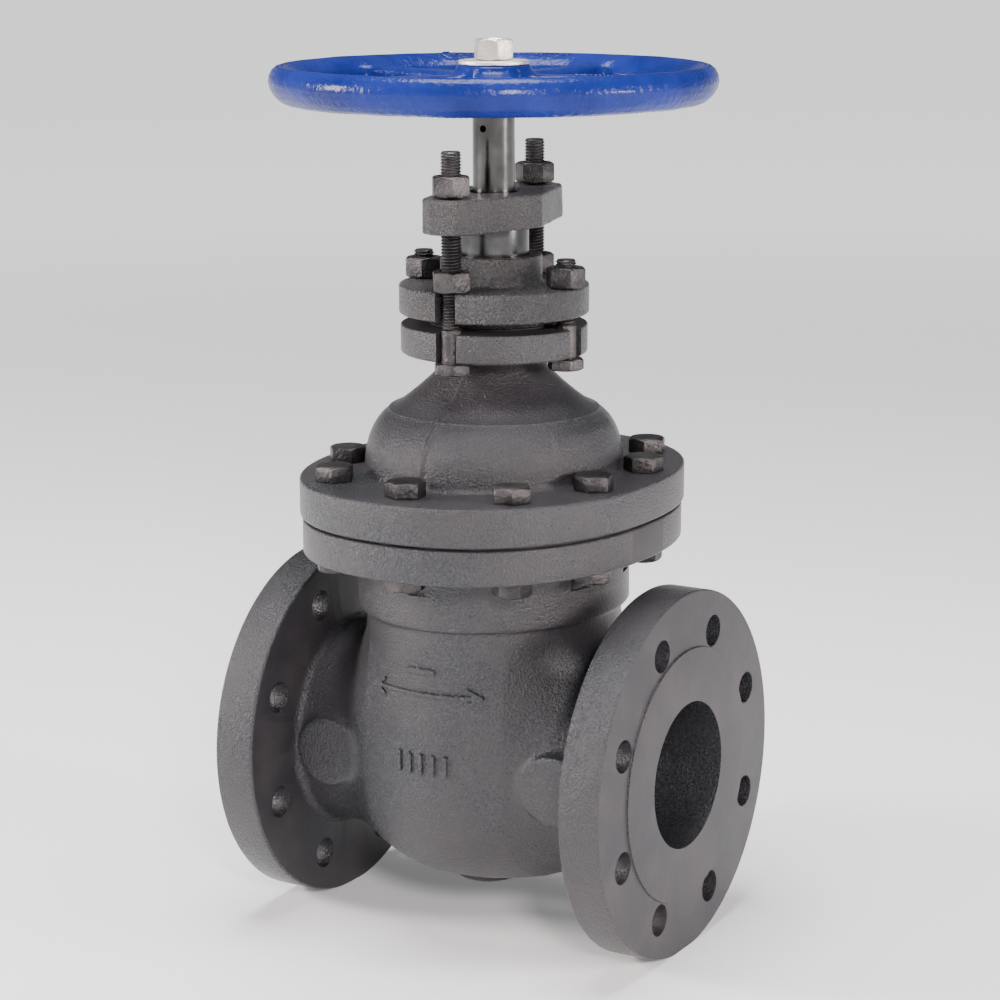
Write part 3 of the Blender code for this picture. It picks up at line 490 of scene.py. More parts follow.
def worked(shape, *steps):
    """The shape after steps of (operation, shape), or of ("BEVEL", width)."""
    piece, helpers = linked("work", shape), []
    for operation, tool in steps:
        if operation == "BEVEL":
            bevel = piece.modifiers.new("edge", "BEVEL")
            bevel.width, bevel.segments = tool, 2
            bevel.angle_limit = math.radians(35)
            continue
        boolean = piece.modifiers.new(operation, "BOOLEAN")
        boolean.operation, boolean.solver = operation, "MANIFOLD"
        helpers.append(linked("tool", tool))
        boolean.object = helpers[-1]
    mesh = evaluated(piece, *helpers)
    points = np.empty(len(mesh.vertices) * 3, np.float32)
    mesh.vertices.foreach_get("co", points)
    return points.reshape(-1, 3).astype(float), [list(p.vertices) for p in mesh.polygons]


def dressed(piece, body, slot, nodes, materials, paint=None, sharp=32):
    """paint(centre, normal) gives a face's material number; without it every face has the first."""
    mesh = piece.data
    mesh.materials.clear()
    for material in materials:
        mesh.materials.append(material)
    mesh.shade_smooth()
    mesh.set_sharp_from_angle(angle=math.radians(sharp))
    if paint:
        for face in mesh.polygons:
            face.material_index = paint(face.center, face.normal)
    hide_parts(*nodes)
    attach(piece, body)
    mesh.calc_loop_triangles()
    print(f"{piece.name}: {len(mesh.loop_triangles)} triangles")
    return piece


def finished(name, shape, *how, **more):
    return dressed(linked(name, shape), *how, **more)


drilled = worked(block((0, 0, 0), (MM, MM, MM)), ("DIFFERENCE", rod(MM / 4, -MM, 2 * MM, 8)))
print("a drilled block has", len(drilled[1]), "faces")

# %% [markdown]
# ## Castings as distance fields
#
# A sand casting has a fillet wherever two shapes meet, and a Boolean leaves none. So the cast
# bodies are written as fields: a function that is negative inside the iron and gives roughly the
# distance to its skin. `blend` joins two fields with a fillet, `capped` meets two with a rounded
# edge, and `surface` lays quads over the zero level, one point in each grid cell that the
# skin crosses. Each point is then slid along the field's slope onto the skin itself.

# %% Fields and their surface


def blend(a, b, reach):
    share = np.clip(0.5 + 0.5 * (b - a) / reach, 0, 1)
    return b + (a - b) * share - reach * share * (1 - share)


def capped(a, b, edge):
    a, b = a + edge, b + edge
    return np.minimum(np.maximum(a, b), 0) + np.hypot(np.maximum(a, 0), np.maximum(b, 0)) - edge


def oval_field(x, y, a, b):
    k = np.sqrt((x / a) ** 2 + (y / b) ** 2) + 1e-6
    return (k - 1) * k / (np.sqrt((x / a**2) ** 2 + (y / b**2) ** 2) + 1e-6)


def ripple(x, y, z, size, height):
    """Soft lumps of the sand mould, from a few crossed waves."""
    a = np.sin(x / size + 1.7 * np.sin(y / size * 0.7 + 1.0)) * np.sin(z / size * 1.1 + y / size)
    b = np.sin(y / size * 2.3 + z / size * 1.9) * np.sin(x / size * 2.1 - z / size * 0.6 + 2.0)
    return height * (0.6 * a + 0.4 * b)


def surface(field, low, high, pitch):
    low = np.array(low)
    counts = np.ceil((np.array(high) - low) / pitch).astype(int) + 1
    axes = [low[i] + pitch * np.arange(counts[i]) for i in range(3)]
    values = np.zeros(counts, np.float32) + field(*np.meshgrid(*axes, indexing="ij", sparse=True))
    inside = values < 0
    filled = np.zeros(counts - 1, np.int8)
    for i, j, k in np.ndindex(2, 2, 2):
        ends = counts - 1 + (i, j, k)
        filled += inside[i : ends[0], j : ends[1], k : ends[2]]
    crossed = (filled > 0) & (filled < 8)
    cells = np.argwhere(crossed)
    index = np.full(crossed.shape, -1)
    index[crossed] = np.arange(len(cells))
    total, hits = np.zeros((len(cells), 3)), np.zeros(len(cells))
    for axis in range(3):
        step = np.eye(3, dtype=int)[axis]
        for a, b in np.ndindex(2, 2):
            start = cells + np.roll([0, a, b], axis)
            near, far = values[tuple(start.T)], values[tuple((start + step).T)]
            cut = (near < 0) != (far < 0)
            part = near[cut] / (near[cut] - far[cut])
            total[cut] += start[cut] + part[:, None] * step
            hits[cut] += 1
    points = low + pitch * total / hits[:, None]
    quads = []
    for axis in range(3):
        step = np.eye(3, dtype=int)[axis]
        first, second = (axis + 1) % 3, (axis + 2) % 3
        ends = counts - step
        change = inside[: ends[0], : ends[1], : ends[2]] != inside[step[0] :, step[1] :, step[2] :]
        edges = np.argwhere(change)
        around = []
        for a, b in ((0, 0), (1, 0), (1, 1), (0, 1)):
            offset = np.zeros(3, int)
            offset[first], offset[second] = a, b
            around.append(index[tuple((edges - offset).T)])
        ring = np.stack(around, 1)
        inward = ~inside[tuple(edges.T)]
        ring[inward] = ring[inward, ::-1]
        quads.append(ring)
    for _ in range(3):
        points = slid(field, points, pitch)
    return points, np.vstack(quads).tolist()


def slid(field, points, pitch):
    """Points moved along the slope of the field by the distance it says, a part of the pitch at most."""
    gap = pitch / 20
    value = field(*points.T)
    slope = np.stack([field(*(points + gap * axis).T) - value for axis in np.eye(3)], 1) / gap
    length = np.linalg.norm(slope, axis=1) + 1e-6
    travel = np.clip(value / length, -pitch / 2, pitch / 2)
    return points - slope * (travel / length)[:, None]


ball = surface(lambda x, y, z: np.sqrt(x**2 + y**2 + z**2) - 5 * MM, [-6 * MM] * 3, [6 * MM] * 3, MM)
ball_radius = np.linalg.norm(ball[0], axis=1).mean() / MM
print("a ball of 5 mm:", len(ball[0]), "points, radius", round(ball_radius, 3))

# %% [markdown]
# ## The body
#
# The body is a standing oval barrel with a rounded bottom, two trunks to the pipe flanges, and a
# belt under the joint flange. The trunks climb as they near the barrel, which carries the load of
# the pipe over the top of the chamber. Four bypass pads and a bottom boss stand proud of it.

# %% Body core
BARREL_X, BARREL_Y = 84.5 * MM, 99.0 * MM
BELT_X, BELT_Y, BELT_BOTTOM = 91.0 * MM, 103.0 * MM, 105.0 * MM
BOWL_START, BOWL_DEPTH, BOWL_EXPONENT = -25.0 * MM, 63.8 * MM, 2.25
TRUNK_START, TRUNK_END = 54.0 * MM, 111.0 * MM
TRUNK_CLIMB, TRUNK_SWELL = 34.5 * MM, 8.0 * MM
NECK_FILLET = 6.0 * MM
TRUNK_BLEND, PAD_BLEND, BOSS_BLEND, BELT_BLEND = 24 * MM, 7 * MM, 6 * MM, 3 * MM
PAD_RADIUS, PAD_FACE, PAD_X = 24.0 * MM, 80.0 * MM, 90.0 * MM
BOSS_RADIUS, BOSS_BOTTOM, BOSS_X = 23.5 * MM, -97.8 * MM, -5.0 * MM
JOINT_LEVEL = BODY_TOP - PIPE_HEIGHT
BODY_FLANGE_BOTTOM = JOINT_LEVEL - 24.2 * MM
CORE_TOP = BODY_FLANGE_BOTTOM + 8 * MM


def barrel(x, y, z):
    round_part = np.sqrt((x / BARREL_X) ** 2 + (y / BARREL_Y) ** 2) + 1e-6
    round_slope = np.sqrt((x / BARREL_X**2) ** 2 + (y / BARREL_Y**2) ** 2) / round_part
    depth = np.maximum(BOWL_START - z, 0) / BOWL_DEPTH
    level = (round_part**BOWL_EXPONENT + depth**BOWL_EXPONENT) ** (1 / BOWL_EXPONENT)
    side = (round_part / level) ** (BOWL_EXPONENT - 1) * round_slope
    down = (depth / level) ** (BOWL_EXPONENT - 1) / BOWL_DEPTH
    return (level - 1) / (np.sqrt(side**2 + down**2) + 1e-6)


def trunks(x, y, z):
    along, reach = np.abs(x), np.hypot(y, z) + 1e-6
    swell = np.clip((TRUNK_END - along) / (TRUNK_END - TRUNK_START), 0, 1) ** 2
    radius = NECK_RADIUS + swell * (TRUNK_CLIMB * np.clip(z / reach, 0, 1) ** 2 + TRUNK_SWELL)
    into = np.clip(along - (FLANGE_BACK - NECK_FILLET), 0, NECK_FILLET)
    radius = radius + NECK_FILLET - np.sqrt(NECK_FILLET**2 - into**2)
    return np.maximum(0.9 * (reach - radius), along - FLANGE_BACK - 9 * MM)


def core(x, y, z):
    """The solid casting without its flanges, with z measured from the pipe axis."""
    iron = blend(barrel(x, y, z), trunks(x, y, z), TRUNK_BLEND)
    pads = capped(np.hypot(np.abs(x) - PAD_X, z) - PAD_RADIUS, np.abs(y) - PAD_FACE, 1.6 * MM)
    iron = blend(iron, pads, PAD_BLEND)
    boss = capped(np.hypot(x - BOSS_X, y) - BOSS_RADIUS, np.abs(z) + BOSS_BOTTOM, 2 * MM)
    iron = blend(iron, boss, BOSS_BLEND)
    belt = capped(oval_field(x, y, BELT_X, BELT_Y), BELT_BOTTOM - z, 2.5 * MM)
    iron = blend(iron, belt, BELT_BLEND)
    return np.maximum(iron, z - CORE_TOP) + ripple(x, y, z, 19 * MM, 0.35 * MM)


CORE_PITCH, MARK_PITCH = 2.0 * MM, 0.8 * MM
core_high = np.array([FLANGE_BACK + 12 * MM, 112 * MM, CORE_TOP + 4 * MM])
core_low = -core_high
core_low[2] = -106 * MM
core_shape = surface(core, core_low, core_high, CORE_PITCH)
print("core:", len(core_shape[0]), "points")

# %% [markdown]
# The marks cast on the front are a flow arrow with a head at each end, since the valve works both
# ways, a plain bar above it and five strokes below. All are laid on the field itself, so they
# follow the curve of the barrel and stand the same height above it all along.

# %% Raised marks
MARK_HEIGHT = 1.7 * MM


def from_line(x, y, start, end):
    """Distance in a plane from the straight line between two points."""
    (x0, y0), (x1, y1) = start, end
    run_x, run_y = x1 - x0, y1 - y0
    share = np.clip(((x - x0) * run_x + (y - y0) * run_y) / (run_x**2 + run_y**2), 0, 1)
    return np.hypot(x - x0 - share * run_x, y - y0 - share * run_y)


def strokes(x, y, lines, radius):
    """Distance in a plane from some straight strokes with round ends, negative inside them."""
    return np.minimum.reduce([from_line(x, y, *line) for line in lines]) - radius


def raised(field, mark, height=MARK_HEIGHT):
    return lambda x, y, z: capped(mark(x, y, z), np.abs(field(x, y, z)) - height, 0.6 * MM)


def in_mm(lines):
    return [tuple((MM * x, MM * y) for x, y in line) for line in lines]


def arrow(half, head, slant, height=0, both=False):
    """A shaft of twice half, with two short strokes for a head at its right end, or at both."""
    lines = [((-half, height), (half, height))]
    for end in (1, -1)[: 1 + both]:
        tips = [(end * (half - head), height + side * slant) for side in (1, -1)]
        lines += [((end * half, height), tip) for tip in tips]
    return in_mm(lines)


FLOW_ARROW = arrow(42, 9, 5, height=60, both=True)
BLOCK = in_mm([((-9, 76), (9, 76))])
BARS = in_mm([((x, 5), (x, 17)) for x in range(-18, 27, 9)])


def front_marks(x, y, z):
    widths = ((FLOW_ARROW, 1.4 * MM), (BLOCK, 2.2 * MM), (BARS, 1.7 * MM))
    return np.minimum.reduce([strokes(x, z, lines, width) for lines, width in widths])


mark_low, mark_high = (-47 * MM, -104 * MM, -2 * MM), (47 * MM, -80 * MM, 86 * MM)
mark_shape = surface(raised(core, front_marks), mark_low, mark_high, MARK_PITCH)
print("marks:", len(mark_shape[0]), "points")

# %% [markdown]
# The flanges are machined, so they are turned and lofted exactly, then joined to the core. After
# that the cutters follow the order of the machine shop: chamber and bore, then seat pockets, then
# bolt holes and the spot faces under the joint flange, and last the two flats of the feet.

# %% Body flanges and cuts
CHAMBER_X, CHAMBER_Y = 72.0 * MM, 86.5 * MM
SEAT_BOSS_RADIUS, SEAT_BOSS_FACE = 66.0 * MM, 37.4 * MM
SEAT_POCKET_RADIUS, SEAT_POCKET_END = 57.3 * MM, 49.7 * MM
GUIDE_HALF, GUIDE_FACE, GUIDE_ROOT = 5.0 * MM, 67.0 * MM, 93.0 * MM
GUIDE_BOTTOM, GUIDE_TOP = -22 * MM, 169 * MM
BOWL_WALL, CUTTER_LENGTH = 12.5 * MM, 22 * MM
HOLE_CIRCLE, HOLE_RADIUS, HOLES = 100.0 * MM, 11.1 * MM, 8
BOLT_HOLE_RADIUS, SPOT_RADIUS, SPOT_DEPTH = 8.5 * MM, 14.9 * MM, 3.5 * MM
BODY_FLANGE_X, BODY_FLANGE_Y = JOINT_X - 1.6 * MM, JOINT_Y - 1.6 * MM
FLANGE_EXPONENT = 2.25
PAST = 3 * MM
ten = [f"{k:02d}" for k in range(1, 11)]
bonnet_bolts = [tuple(sum(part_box(f"bonnet_bolt_{k}"), Vector()) / 2)[:2] for k in ten]


def pipe_flange():
    raised_foot = PIPE_FACE - RAISED_FACE_HEIGHT
    corners = [
        (PIPE_FLANGE_RADIUS, FLANGE_BACK, 2.2 * MM),
        (PIPE_FLANGE_RADIUS, raised_foot, 1.2 * MM),
        (RAISED_FACE_RADIUS, raised_foot, 0.4 * MM),
        (RAISED_FACE_RADIUS, PIPE_FACE, 0.5 * MM),
        (BORE_RADIUS - 9 * MM, PIPE_FACE, 0),
        (BORE_RADIUS - 9 * MM, FLANGE_BACK, 0),
    ]
    return moved(lathe(corners, 256), ALONG_X)


def joint_flange(a, b, bottom, top, edge):
    """An oval plate with rounded edges, as a solid."""
    rings = []
    opening = np.linspace(0, math.pi / 2, 5)
    for level, step, arc in ((bottom, edge, opening), (top, -edge, opening[::-1])):
        for t in arc:
            inset, height = edge * (1 - math.sin(t)), level + step * (1 - math.cos(t))
            rings.append(oval(a - inset, b - inset, height, FLANGE_EXPONENT, 240))
    return loft(rings)


def chamber():
    """The hollow of the barrel, closed below by a bowl."""
    rings = []
    for t in np.radians(np.linspace(14, 90, 14)):
        spread = math.sin(t) ** (2 / BOWL_EXPONENT)
        height = BOWL_START - (BOWL_DEPTH - BOWL_WALL) * math.cos(t) ** (2 / BOWL_EXPONENT)
        rings.append(oval(CHAMBER_X * spread, CHAMBER_Y * spread, height, segments=96))
    return loft(rings + [oval(CHAMBER_X, CHAMBER_Y, JOINT_LEVEL + PAST, segments=96)])


def spot_faces():
    """Bolt holes of the joint, each with the round seat that a cutter leaves for its nut."""
    seat = BODY_FLANGE_BOTTOM + SPOT_DEPTH
    profile = [
        (SPOT_RADIUS, seat - CUTTER_LENGTH),
        (SPOT_RADIUS, seat),
        (BOLT_HOLE_RADIUS, seat),
        (BOLT_HOLE_RADIUS, JOINT_LEVEL + PAST),
    ]
    return together(*[moved(turned(profile, 48), shift(x, y)) for x, y in bonnet_bolts])


def pipe_rod(radius, low, high, segments=96):
    return moved(rod(radius, low, high, segments), ALONG_X)


def both_ways(shape):
    return together(*[moved(shape, side) for side in SIDES.values()])


guides = together(
    block((-GUIDE_HALF, GUIDE_FACE, GUIDE_BOTTOM), (GUIDE_HALF, GUIDE_ROOT, GUIDE_TOP)),
    block((-GUIDE_HALF, -GUIDE_ROOT, GUIDE_BOTTOM), (GUIDE_HALF, -GUIDE_FACE, GUIDE_TOP)),
)
hole = moved(rod(HOLE_RADIUS, FLANGE_BACK - PAST, PIPE_FACE + PAST, 48), shift(x=HOLE_CIRCLE))
turns = [turn("Z", 360 * (k + 0.5) / HOLES) for k in range(HOLES)]
pipe_holes = together(*[moved(hole, place, ALONG_X) for place in turns])
seat_boss = pipe_rod(SEAT_BOSS_RADIUS, SEAT_BOSS_FACE, BARREL_X - 6 * MM)
pocket = pipe_rod(SEAT_POCKET_RADIUS, SEAT_BOSS_FACE - PAST, SEAT_POCKET_END)
body_shape = worked(
    core_shape,
    ("UNION", both_ways(pipe_flange())),
    ("UNION", joint_flange(BODY_FLANGE_X, BODY_FLANGE_Y, BODY_FLANGE_BOTTOM, JOINT_LEVEL, 1.6 * MM)),
    ("UNION", mark_shape),
    ("DIFFERENCE", chamber()),
    ("UNION", both_ways(seat_boss)),
    ("UNION", guides),
    ("DIFFERENCE", pipe_rod(BORE_RADIUS, -PIPE_FACE - PAST, PIPE_FACE + PAST, 160)),
    ("DIFFERENCE", both_ways(pocket)),
    ("DIFFERENCE", both_ways(pipe_holes)),
    ("DIFFERENCE", spot_faces()),
    ("DIFFERENCE", block((-1, -1, -1 - PIPE_HEIGHT), (1, 1, -PIPE_HEIGHT))),
)


def body_paint(centre, normal):
    on_raised_face = abs(centre.x) > FLANGE_BACK - MM and abs(normal.x) > 0.9
    on_joint = centre.z > BODY_TOP - 0.4 * MM
    return 1 if on_raised_face or on_joint else 0


body_shape = moved(body_shape, PIPE_AXIS)
finished("body_casting", body_shape, "root", "cast_iron", ["body"], [cast, faced], paint=body_paint)

# %% [markdown]
# ## The bonnet
#
# The bonnet covers the barrel and gives the wedge room to rise. From its oval foot it bulges, turns
# sharply at a shoulder, and runs up in a hollow curve to a round neck. A thin ridge down its front
# and back is where the halves of the mould met, and a shallow blank pad stands on the right.

# %% Bonnet casting
DOME_FOOT_X, DOME_FOOT_Y = 86.5 * MM, 97.0 * MM
FOOT_FILLET = 4.0 * MM
SHOULDER_RADIUS, SHOULDER_RISE, DOME_RISE = 72.5 * MM, 42.0 * MM, 80.3 * MM
BONNET_NECK_RADIUS, NECK_FLARE, FLARE_START = 31.0 * MM, 3 * MM, 0.85
SHOULDER_STEP, STEP_REACH, HOLLOW = 3 * MM, 1.6 * MM, 1.35        # a power above 1 hollows the cone
RIDGE_HEIGHT, RIDGE_WIDTH = 1.5 * MM, 1.2 * MM
PAD_HEIGHT, PAD_MIDDLE, PAD_HALF = 1.2 * MM, -5, 27        # the angles are in degrees
PAD_BOTTOM, PAD_TOP, PAD_EDGE = 7 * MM, 36 * MM, 1.2 * MM
BONNET_WALL, CROWN_DROP = 12 * MM, 7.2 * MM
STEM_PASSAGE, BUSH_SEAT = 19.6 * MM, 26.8 * MM
TOP_FLANGE_RADIUS = 64.0 * MM
BONNET_FLANGE_TOP = BONNET_BOTTOM + 26.2 * MM
TOP_FLANGE_BOTTOM = BONNET_FLANGE_TOP + DOME_RISE
SLOT_CIRCLE, SLOT_HALF = 56.0 * MM, 7.75 * MM
STEM_RADIUS = 14.3 * MM


def dome_size(rise):
    """Half widths along X and Y at a height above the bonnet flange."""
    if rise >= SHOULDER_RISE:
        part = min(1.0, (rise - SHOULDER_RISE) / (DOME_RISE - SHOULDER_RISE))
        radius = BONNET_NECK_RADIUS + (SHOULDER_RADIUS - BONNET_NECK_RADIUS) * (1 - part) ** HOLLOW
        radius += NECK_FLARE * max(0.0, (part - FLARE_START) / (1 - FLARE_START)) ** 2
        radius -= SHOULDER_STEP * (1 - math.exp(-(rise - SHOULDER_RISE) / STEP_REACH)) * (1 - part)
        return radius, radius
    part = max(0.0, rise / SHOULDER_RISE)
    fade = max(0.0, 2 * math.sqrt(1 - (part * 0.9) ** 2.4) - 1)
    flare = FOOT_FILLET * (1 - math.sqrt(1 - (1 - min(1.0, max(0.0, rise) / FOOT_FILLET)) ** 2))
    return [SHOULDER_RADIUS + (foot - SHOULDER_RADIUS) * fade + flare for foot in (DOME_FOOT_X, DOME_FOOT_Y)]


def dome_rings(segments=360):
    """Rings from foot to crown, close together where the wall turns, at the foot and the shoulder."""
    rises = np.concatenate([
        [-4 * MM], np.linspace(0, FOOT_FILLET, 6), np.linspace(5 * MM, SHOULDER_RISE - MM, 26),
        SHOULDER_RISE + 8 * MM * np.linspace(0, 1, 9) ** 2,
        np.linspace(SHOULDER_RISE + 10 * MM, DOME_RISE, 26), [DOME_RISE + 4 * MM],
    ])
    rings = []
    for rise in rises:
        a, b = dome_size(rise)
        ring = oval(a, b, BONNET_FLANGE_TOP + rise, segments=segments)
        angle = np.degrees(np.arctan2(ring[:, 1], ring[:, 0]))
        radius = np.hypot(ring[:, 0], ring[:, 1])
        from_parting = np.abs(np.abs(angle) - 90) * np.radians(1) * radius
        ridge = RIDGE_HEIGHT * np.exp(-((from_parting / RIDGE_WIDTH) ** 2))
        across = np.clip((PAD_HALF - np.abs(angle - PAD_MIDDLE)) / 1.8, 0, 1)
        up = np.clip(min(rise - PAD_BOTTOM, PAD_TOP - rise) / PAD_EDGE, 0, 1)
        lumps = ripple(ring[:, 0], ring[:, 1], ring[:, 2], 17 * MM, 0.35 * MM)
        ring[:, :2] *= (1 + (ridge + PAD_HEIGHT * across * up + lumps) / radius)[:, None]
        rings.append(ring)
    return rings


def slots(degrees, low, high):
    """Cutters for U-shaped slots from the bolt circle out through the rim."""
    arc = np.radians(np.linspace(90, 270, 17))
    outline = [(SLOT_CIRCLE + SLOT_HALF * math.cos(t), SLOT_HALF * math.sin(t)) for t in arc]
    outline += [(2 * SLOT_CIRCLE, -SLOT_HALF), (2 * SLOT_CIRCLE, SLOT_HALF)]
    slot = loft([[(x, y, z) for x, y in outline] for z in (low - PAST, high + PAST)])
    return together(*[moved(slot, turn("Z", angle)) for angle in degrees])


def holes(radius, low, high, places, segments=48):
    """Cutters for round holes through a plate, a little past both its sides."""
    cutter = rod(radius, low - PAST, high + PAST, segments)
    return together(*[moved(cutter, shift(x, y)) for x, y in places])


PLATE_EYE = BONNET_NECK_RADIUS - 8 * MM
PLATE_EDGES = (2 * MM, 1.2 * MM, 0, 0)
top_plate = collar(TOP_FLANGE_RADIUS, PLATE_EYE, TOP_FLANGE_BOTTOM, BONNET_TOP, PLATE_EDGES, 160)
inside = [oval(CHAMBER_X, CHAMBER_Y, BONNET_BOTTOM - PAST, segments=96)]
for rise in np.linspace(2 * MM, 44 * MM, 14):
    a, b = dome_size(rise)
    level = BONNET_FLANGE_TOP + rise - CROWN_DROP
    inside.append(oval(a - BONNET_WALL, b - BONNET_WALL, level, segments=96))
bush_top, bush_bottom = top("stem_bush"), bottom("stem_bush")
bonnet_shape = worked(
    loft(dome_rings()),
    ("UNION", joint_flange(JOINT_X, JOINT_Y, BONNET_BOTTOM, BONNET_FLANGE_TOP, 2.0 * MM)),
    ("UNION", top_plate),
    ("DIFFERENCE", loft(inside)),
    ("DIFFERENCE", rod(STEM_PASSAGE, BONNET_FLANGE_TOP + 20 * MM, BONNET_TOP + PAST)),
    ("DIFFERENCE", rod(BUSH_SEAT, bush_top + FIT, BONNET_TOP + PAST)),
    ("DIFFERENCE", holes(BOLT_HOLE_RADIUS, BONNET_BOTTOM, BONNET_FLANGE_TOP, bonnet_bolts, 40)),
    ("DIFFERENCE", slots((0, 90, 180, 270), TOP_FLANGE_BOTTOM, BONNET_TOP)),
)


def bonnet_paint(centre, normal):
    return 1 if centre.z < BONNET_BOTTOM + 0.4 * MM or centre.z > BONNET_TOP - 0.2 * MM else 0


finished("bonnet_casting", bonnet_shape, "root", "cast_iron", ["bonnet"], [cast, faced], paint=bonnet_paint)

# %% [markdown]
# ## Bolts and nuts
#
# A hexagon is forged with its corners turned off at 30 degrees, which gives the curved edges that
# tell a real nut from a prism. Each is made once, and Geometry Nodes sets a copy on every
# place: the places are points that carry the angle of each bolt.

# %% Hexagons and threads
CHAMFER = math.tan(math.radians(30))
CORNER_START = 0.96        # the corners are turned off from this share of the half width outwards
THREAD_FLAT = 1.25         # a wave cut off at 1 leaves flat roots
POINT_LENGTH, POINT_SLOPE = 1.6 * MM, 0.8


def hexagon(flats, bottom, top, hole=None, both=True):
    """A hexagonal head, or a nut where hole is its radius, with the corners turned off."""
    corner = flats / math.sqrt(3)
    small = flats / 2 * CORNER_START
    drop = (corner - small) * CHAMFER
    wall = [(corner + MM, bottom)]
    if both:
        wall = [(small, bottom), (corner + MM, bottom + drop + MM * CHAMFER)]
    wall += [(corner + MM, top - drop - MM * CHAMFER), (small, top)]
    if hole:
        lead = 1.2 * MM
        wall += [(hole + lead, top), (hole, top - lead), (hole, bottom + lead), (hole + lead, bottom)]
    angles = [TURN * k / 6 for k in range(6)]
    ring = [(corner * math.cos(t), corner * math.sin(t)) for t in angles]
    prism = loft([[(x, y, z) for x, y in ring] for z in (bottom - MM, top + MM)])
    return worked(turned(wall, 72, loop=bool(hole)), ("INTERSECT", prism), ("BEVEL", 0.35 * MM))


def threaded(radius, bottom, top, pitch, depth, segments=24):
    """A rod with a helical thread, pointed by a chamfer at its top end."""
    heights = np.arange(bottom, top, pitch / 10)
    heights = np.append(heights, top)[:, None]
    around = (np.arange(segments) * TURN / segments)[None, :]
    wave = np.abs(2 * ((heights / pitch - around / TURN) % 1) - 1)
    groove = depth * np.clip(THREAD_FLAT * wave, 0, 1)
    chamfer = np.clip(heights - (top - POINT_LENGTH), 0, None)
    spread = np.minimum(radius - groove, radius - chamfer * POINT_SLOPE)
    return loft(np.stack([spread * np.cos(around), spread * np.sin(around), heights + 0 * around], -1))


print("corners turned off at", round(math.degrees(math.atan(CHAMFER))), "degrees")

# %% [markdown]
# The node tree takes points, a piece and a finish. It puts the piece on each point, turns it by the
# angle the point carries, and makes the copies real, because copies that stay instances are
# lost when the model is exported. A loop that made each copy by hand would also work, but the tree
# can be reused for any piece.

# %% Repeating with Geometry Nodes
POINTS, PIECE, FINISH = "Places", "Piece", "Finish"


def place_group():
    group = bpy.data.node_groups.new("Place pieces", "GeometryNodeTree")
    for name, kind in ((POINTS, "Geometry"), (PIECE, "Object"), (FINISH, "Material")):
        group.interface.new_socket(name, in_out="INPUT", socket_type="NodeSocket" + kind)
    group.interface.new_socket("Geometry", in_out="OUTPUT", socket_type="NodeSocketGeometry")
    given, out = group.nodes.new("NodeGroupInput"), group.nodes.new("NodeGroupOutput")
    source = group.nodes.new("GeometryNodeObjectInfo")
    facing = group.nodes.new("GeometryNodeInputNamedAttribute")
    facing.inputs["Name"].default_value = "facing"
    rotation = group.nodes.new("ShaderNodeCombineXYZ")
    copies = group.nodes.new("GeometryNodeInstanceOnPoints")
    real = group.nodes.new("GeometryNodeRealizeInstances")
    coat = group.nodes.new("GeometryNodeSetMaterial")
    for start, end in (
        (given.outputs[PIECE], source.inputs["Object"]),
        (given.outputs[POINTS], copies.inputs["Points"]),
        (source.outputs["Geometry"], copies.inputs["Instance"]),
        (facing.outputs["Attribute"], rotation.inputs["Z"]),
        (rotation.outputs["Vector"], copies.inputs["Rotation"]),
        (copies.outputs["Instances"], real.inputs["Geometry"]),
        (real.outputs["Geometry"], coat.inputs["Geometry"]),
        (given.outputs[FINISH], coat.inputs["Material"]),
        (coat.outputs["Geometry"], out.inputs["Geometry"]),
    ):
        group.links.new(start, end)
    return group


placing = place_group()


def placed(name, shape, places, material, *how, **more):
    """A copy of the shape at each (x, y, angle), as one plain mesh."""
    points = bpy.data.meshes.new(name)
    points.from_pydata([(x, y, 0) for x, y, _ in places], [], [])
    facing = points.attributes.new("facing", "FLOAT", "POINT")
    facing.data.foreach_set("value", [angle for _, _, angle in places])
    carrier = added("carrier", points)
    source = linked("source", shape)
    nodes = carrier.modifiers.new("places", "NODES")
    nodes.node_group = placing
    given = {PIECE: source, FINISH: material}
    for item in placing.interface.items_tree:
        if item.name in given:
            nodes[item.identifier] = given[item.name]
    piece = added(name, evaluated(carrier, source))
    return dressed(piece, *how, materials=[material], **more)


print("placing tree:", len(placing.nodes), "nodes and", len(placing.links), "links")

# %% [markdown]
# The joint has ten bolts with their heads on top. Under the body flange each nut sits in its spot
# face, and the bolt ends flush with it.

# %% Bonnet bolts and nuts
HEX = 23.8 * MM
THREAD_PITCH, THREAD_DEPTH = 2.117 * MM, 1.1 * MM
bolt_radius = 7.9 * MM
bolt_end, bolt_top = bottom("bonnet_bolt_01"), top("bonnet_bolt_01")
nut_low, nut_high = bottom("bonnet_nut_01"), top("bonnet_nut_01")
head_low = BONNET_FLANGE_TOP + FIT
point = 1.2 * MM           # the chamfer at the end of a shank
shank = [(bolt_radius - point, bolt_end), (bolt_radius, bolt_end + point), (bolt_radius, head_low + MM)]
bolt_shape = worked(turned(shank, 40), ("UNION", hexagon(HEX, head_low, bolt_top, both=False)))
nut_shape = hexagon(HEX, nut_low, nut_high, hole=bolt_radius + 0.2 * MM)
# A wrench leaves each bolt at a slightly different angle, here in radians.
askew = [0.06, -0.09, 0.17, -0.04, 0.11, -0.15, 0.02, 0.13, -0.07, 0.05]
places = [(x, y, math.atan2(y, x) + twist) for (x, y), twist in zip(bonnet_bolts, askew)]
nut_places = [(x, y, angle + 0.3 - twist) for (x, y, angle), twist in zip(places, askew)]
dark = (bolt_steel, "root", "dark_steel")
for kind, shape, spots in (("bolt", bolt_shape, places), ("nut", nut_shape, nut_places)):
    placed(f"bonnet_{kind}s", shape, spots, *dark, [f"bonnet_{kind}_{k}" for k in ten])

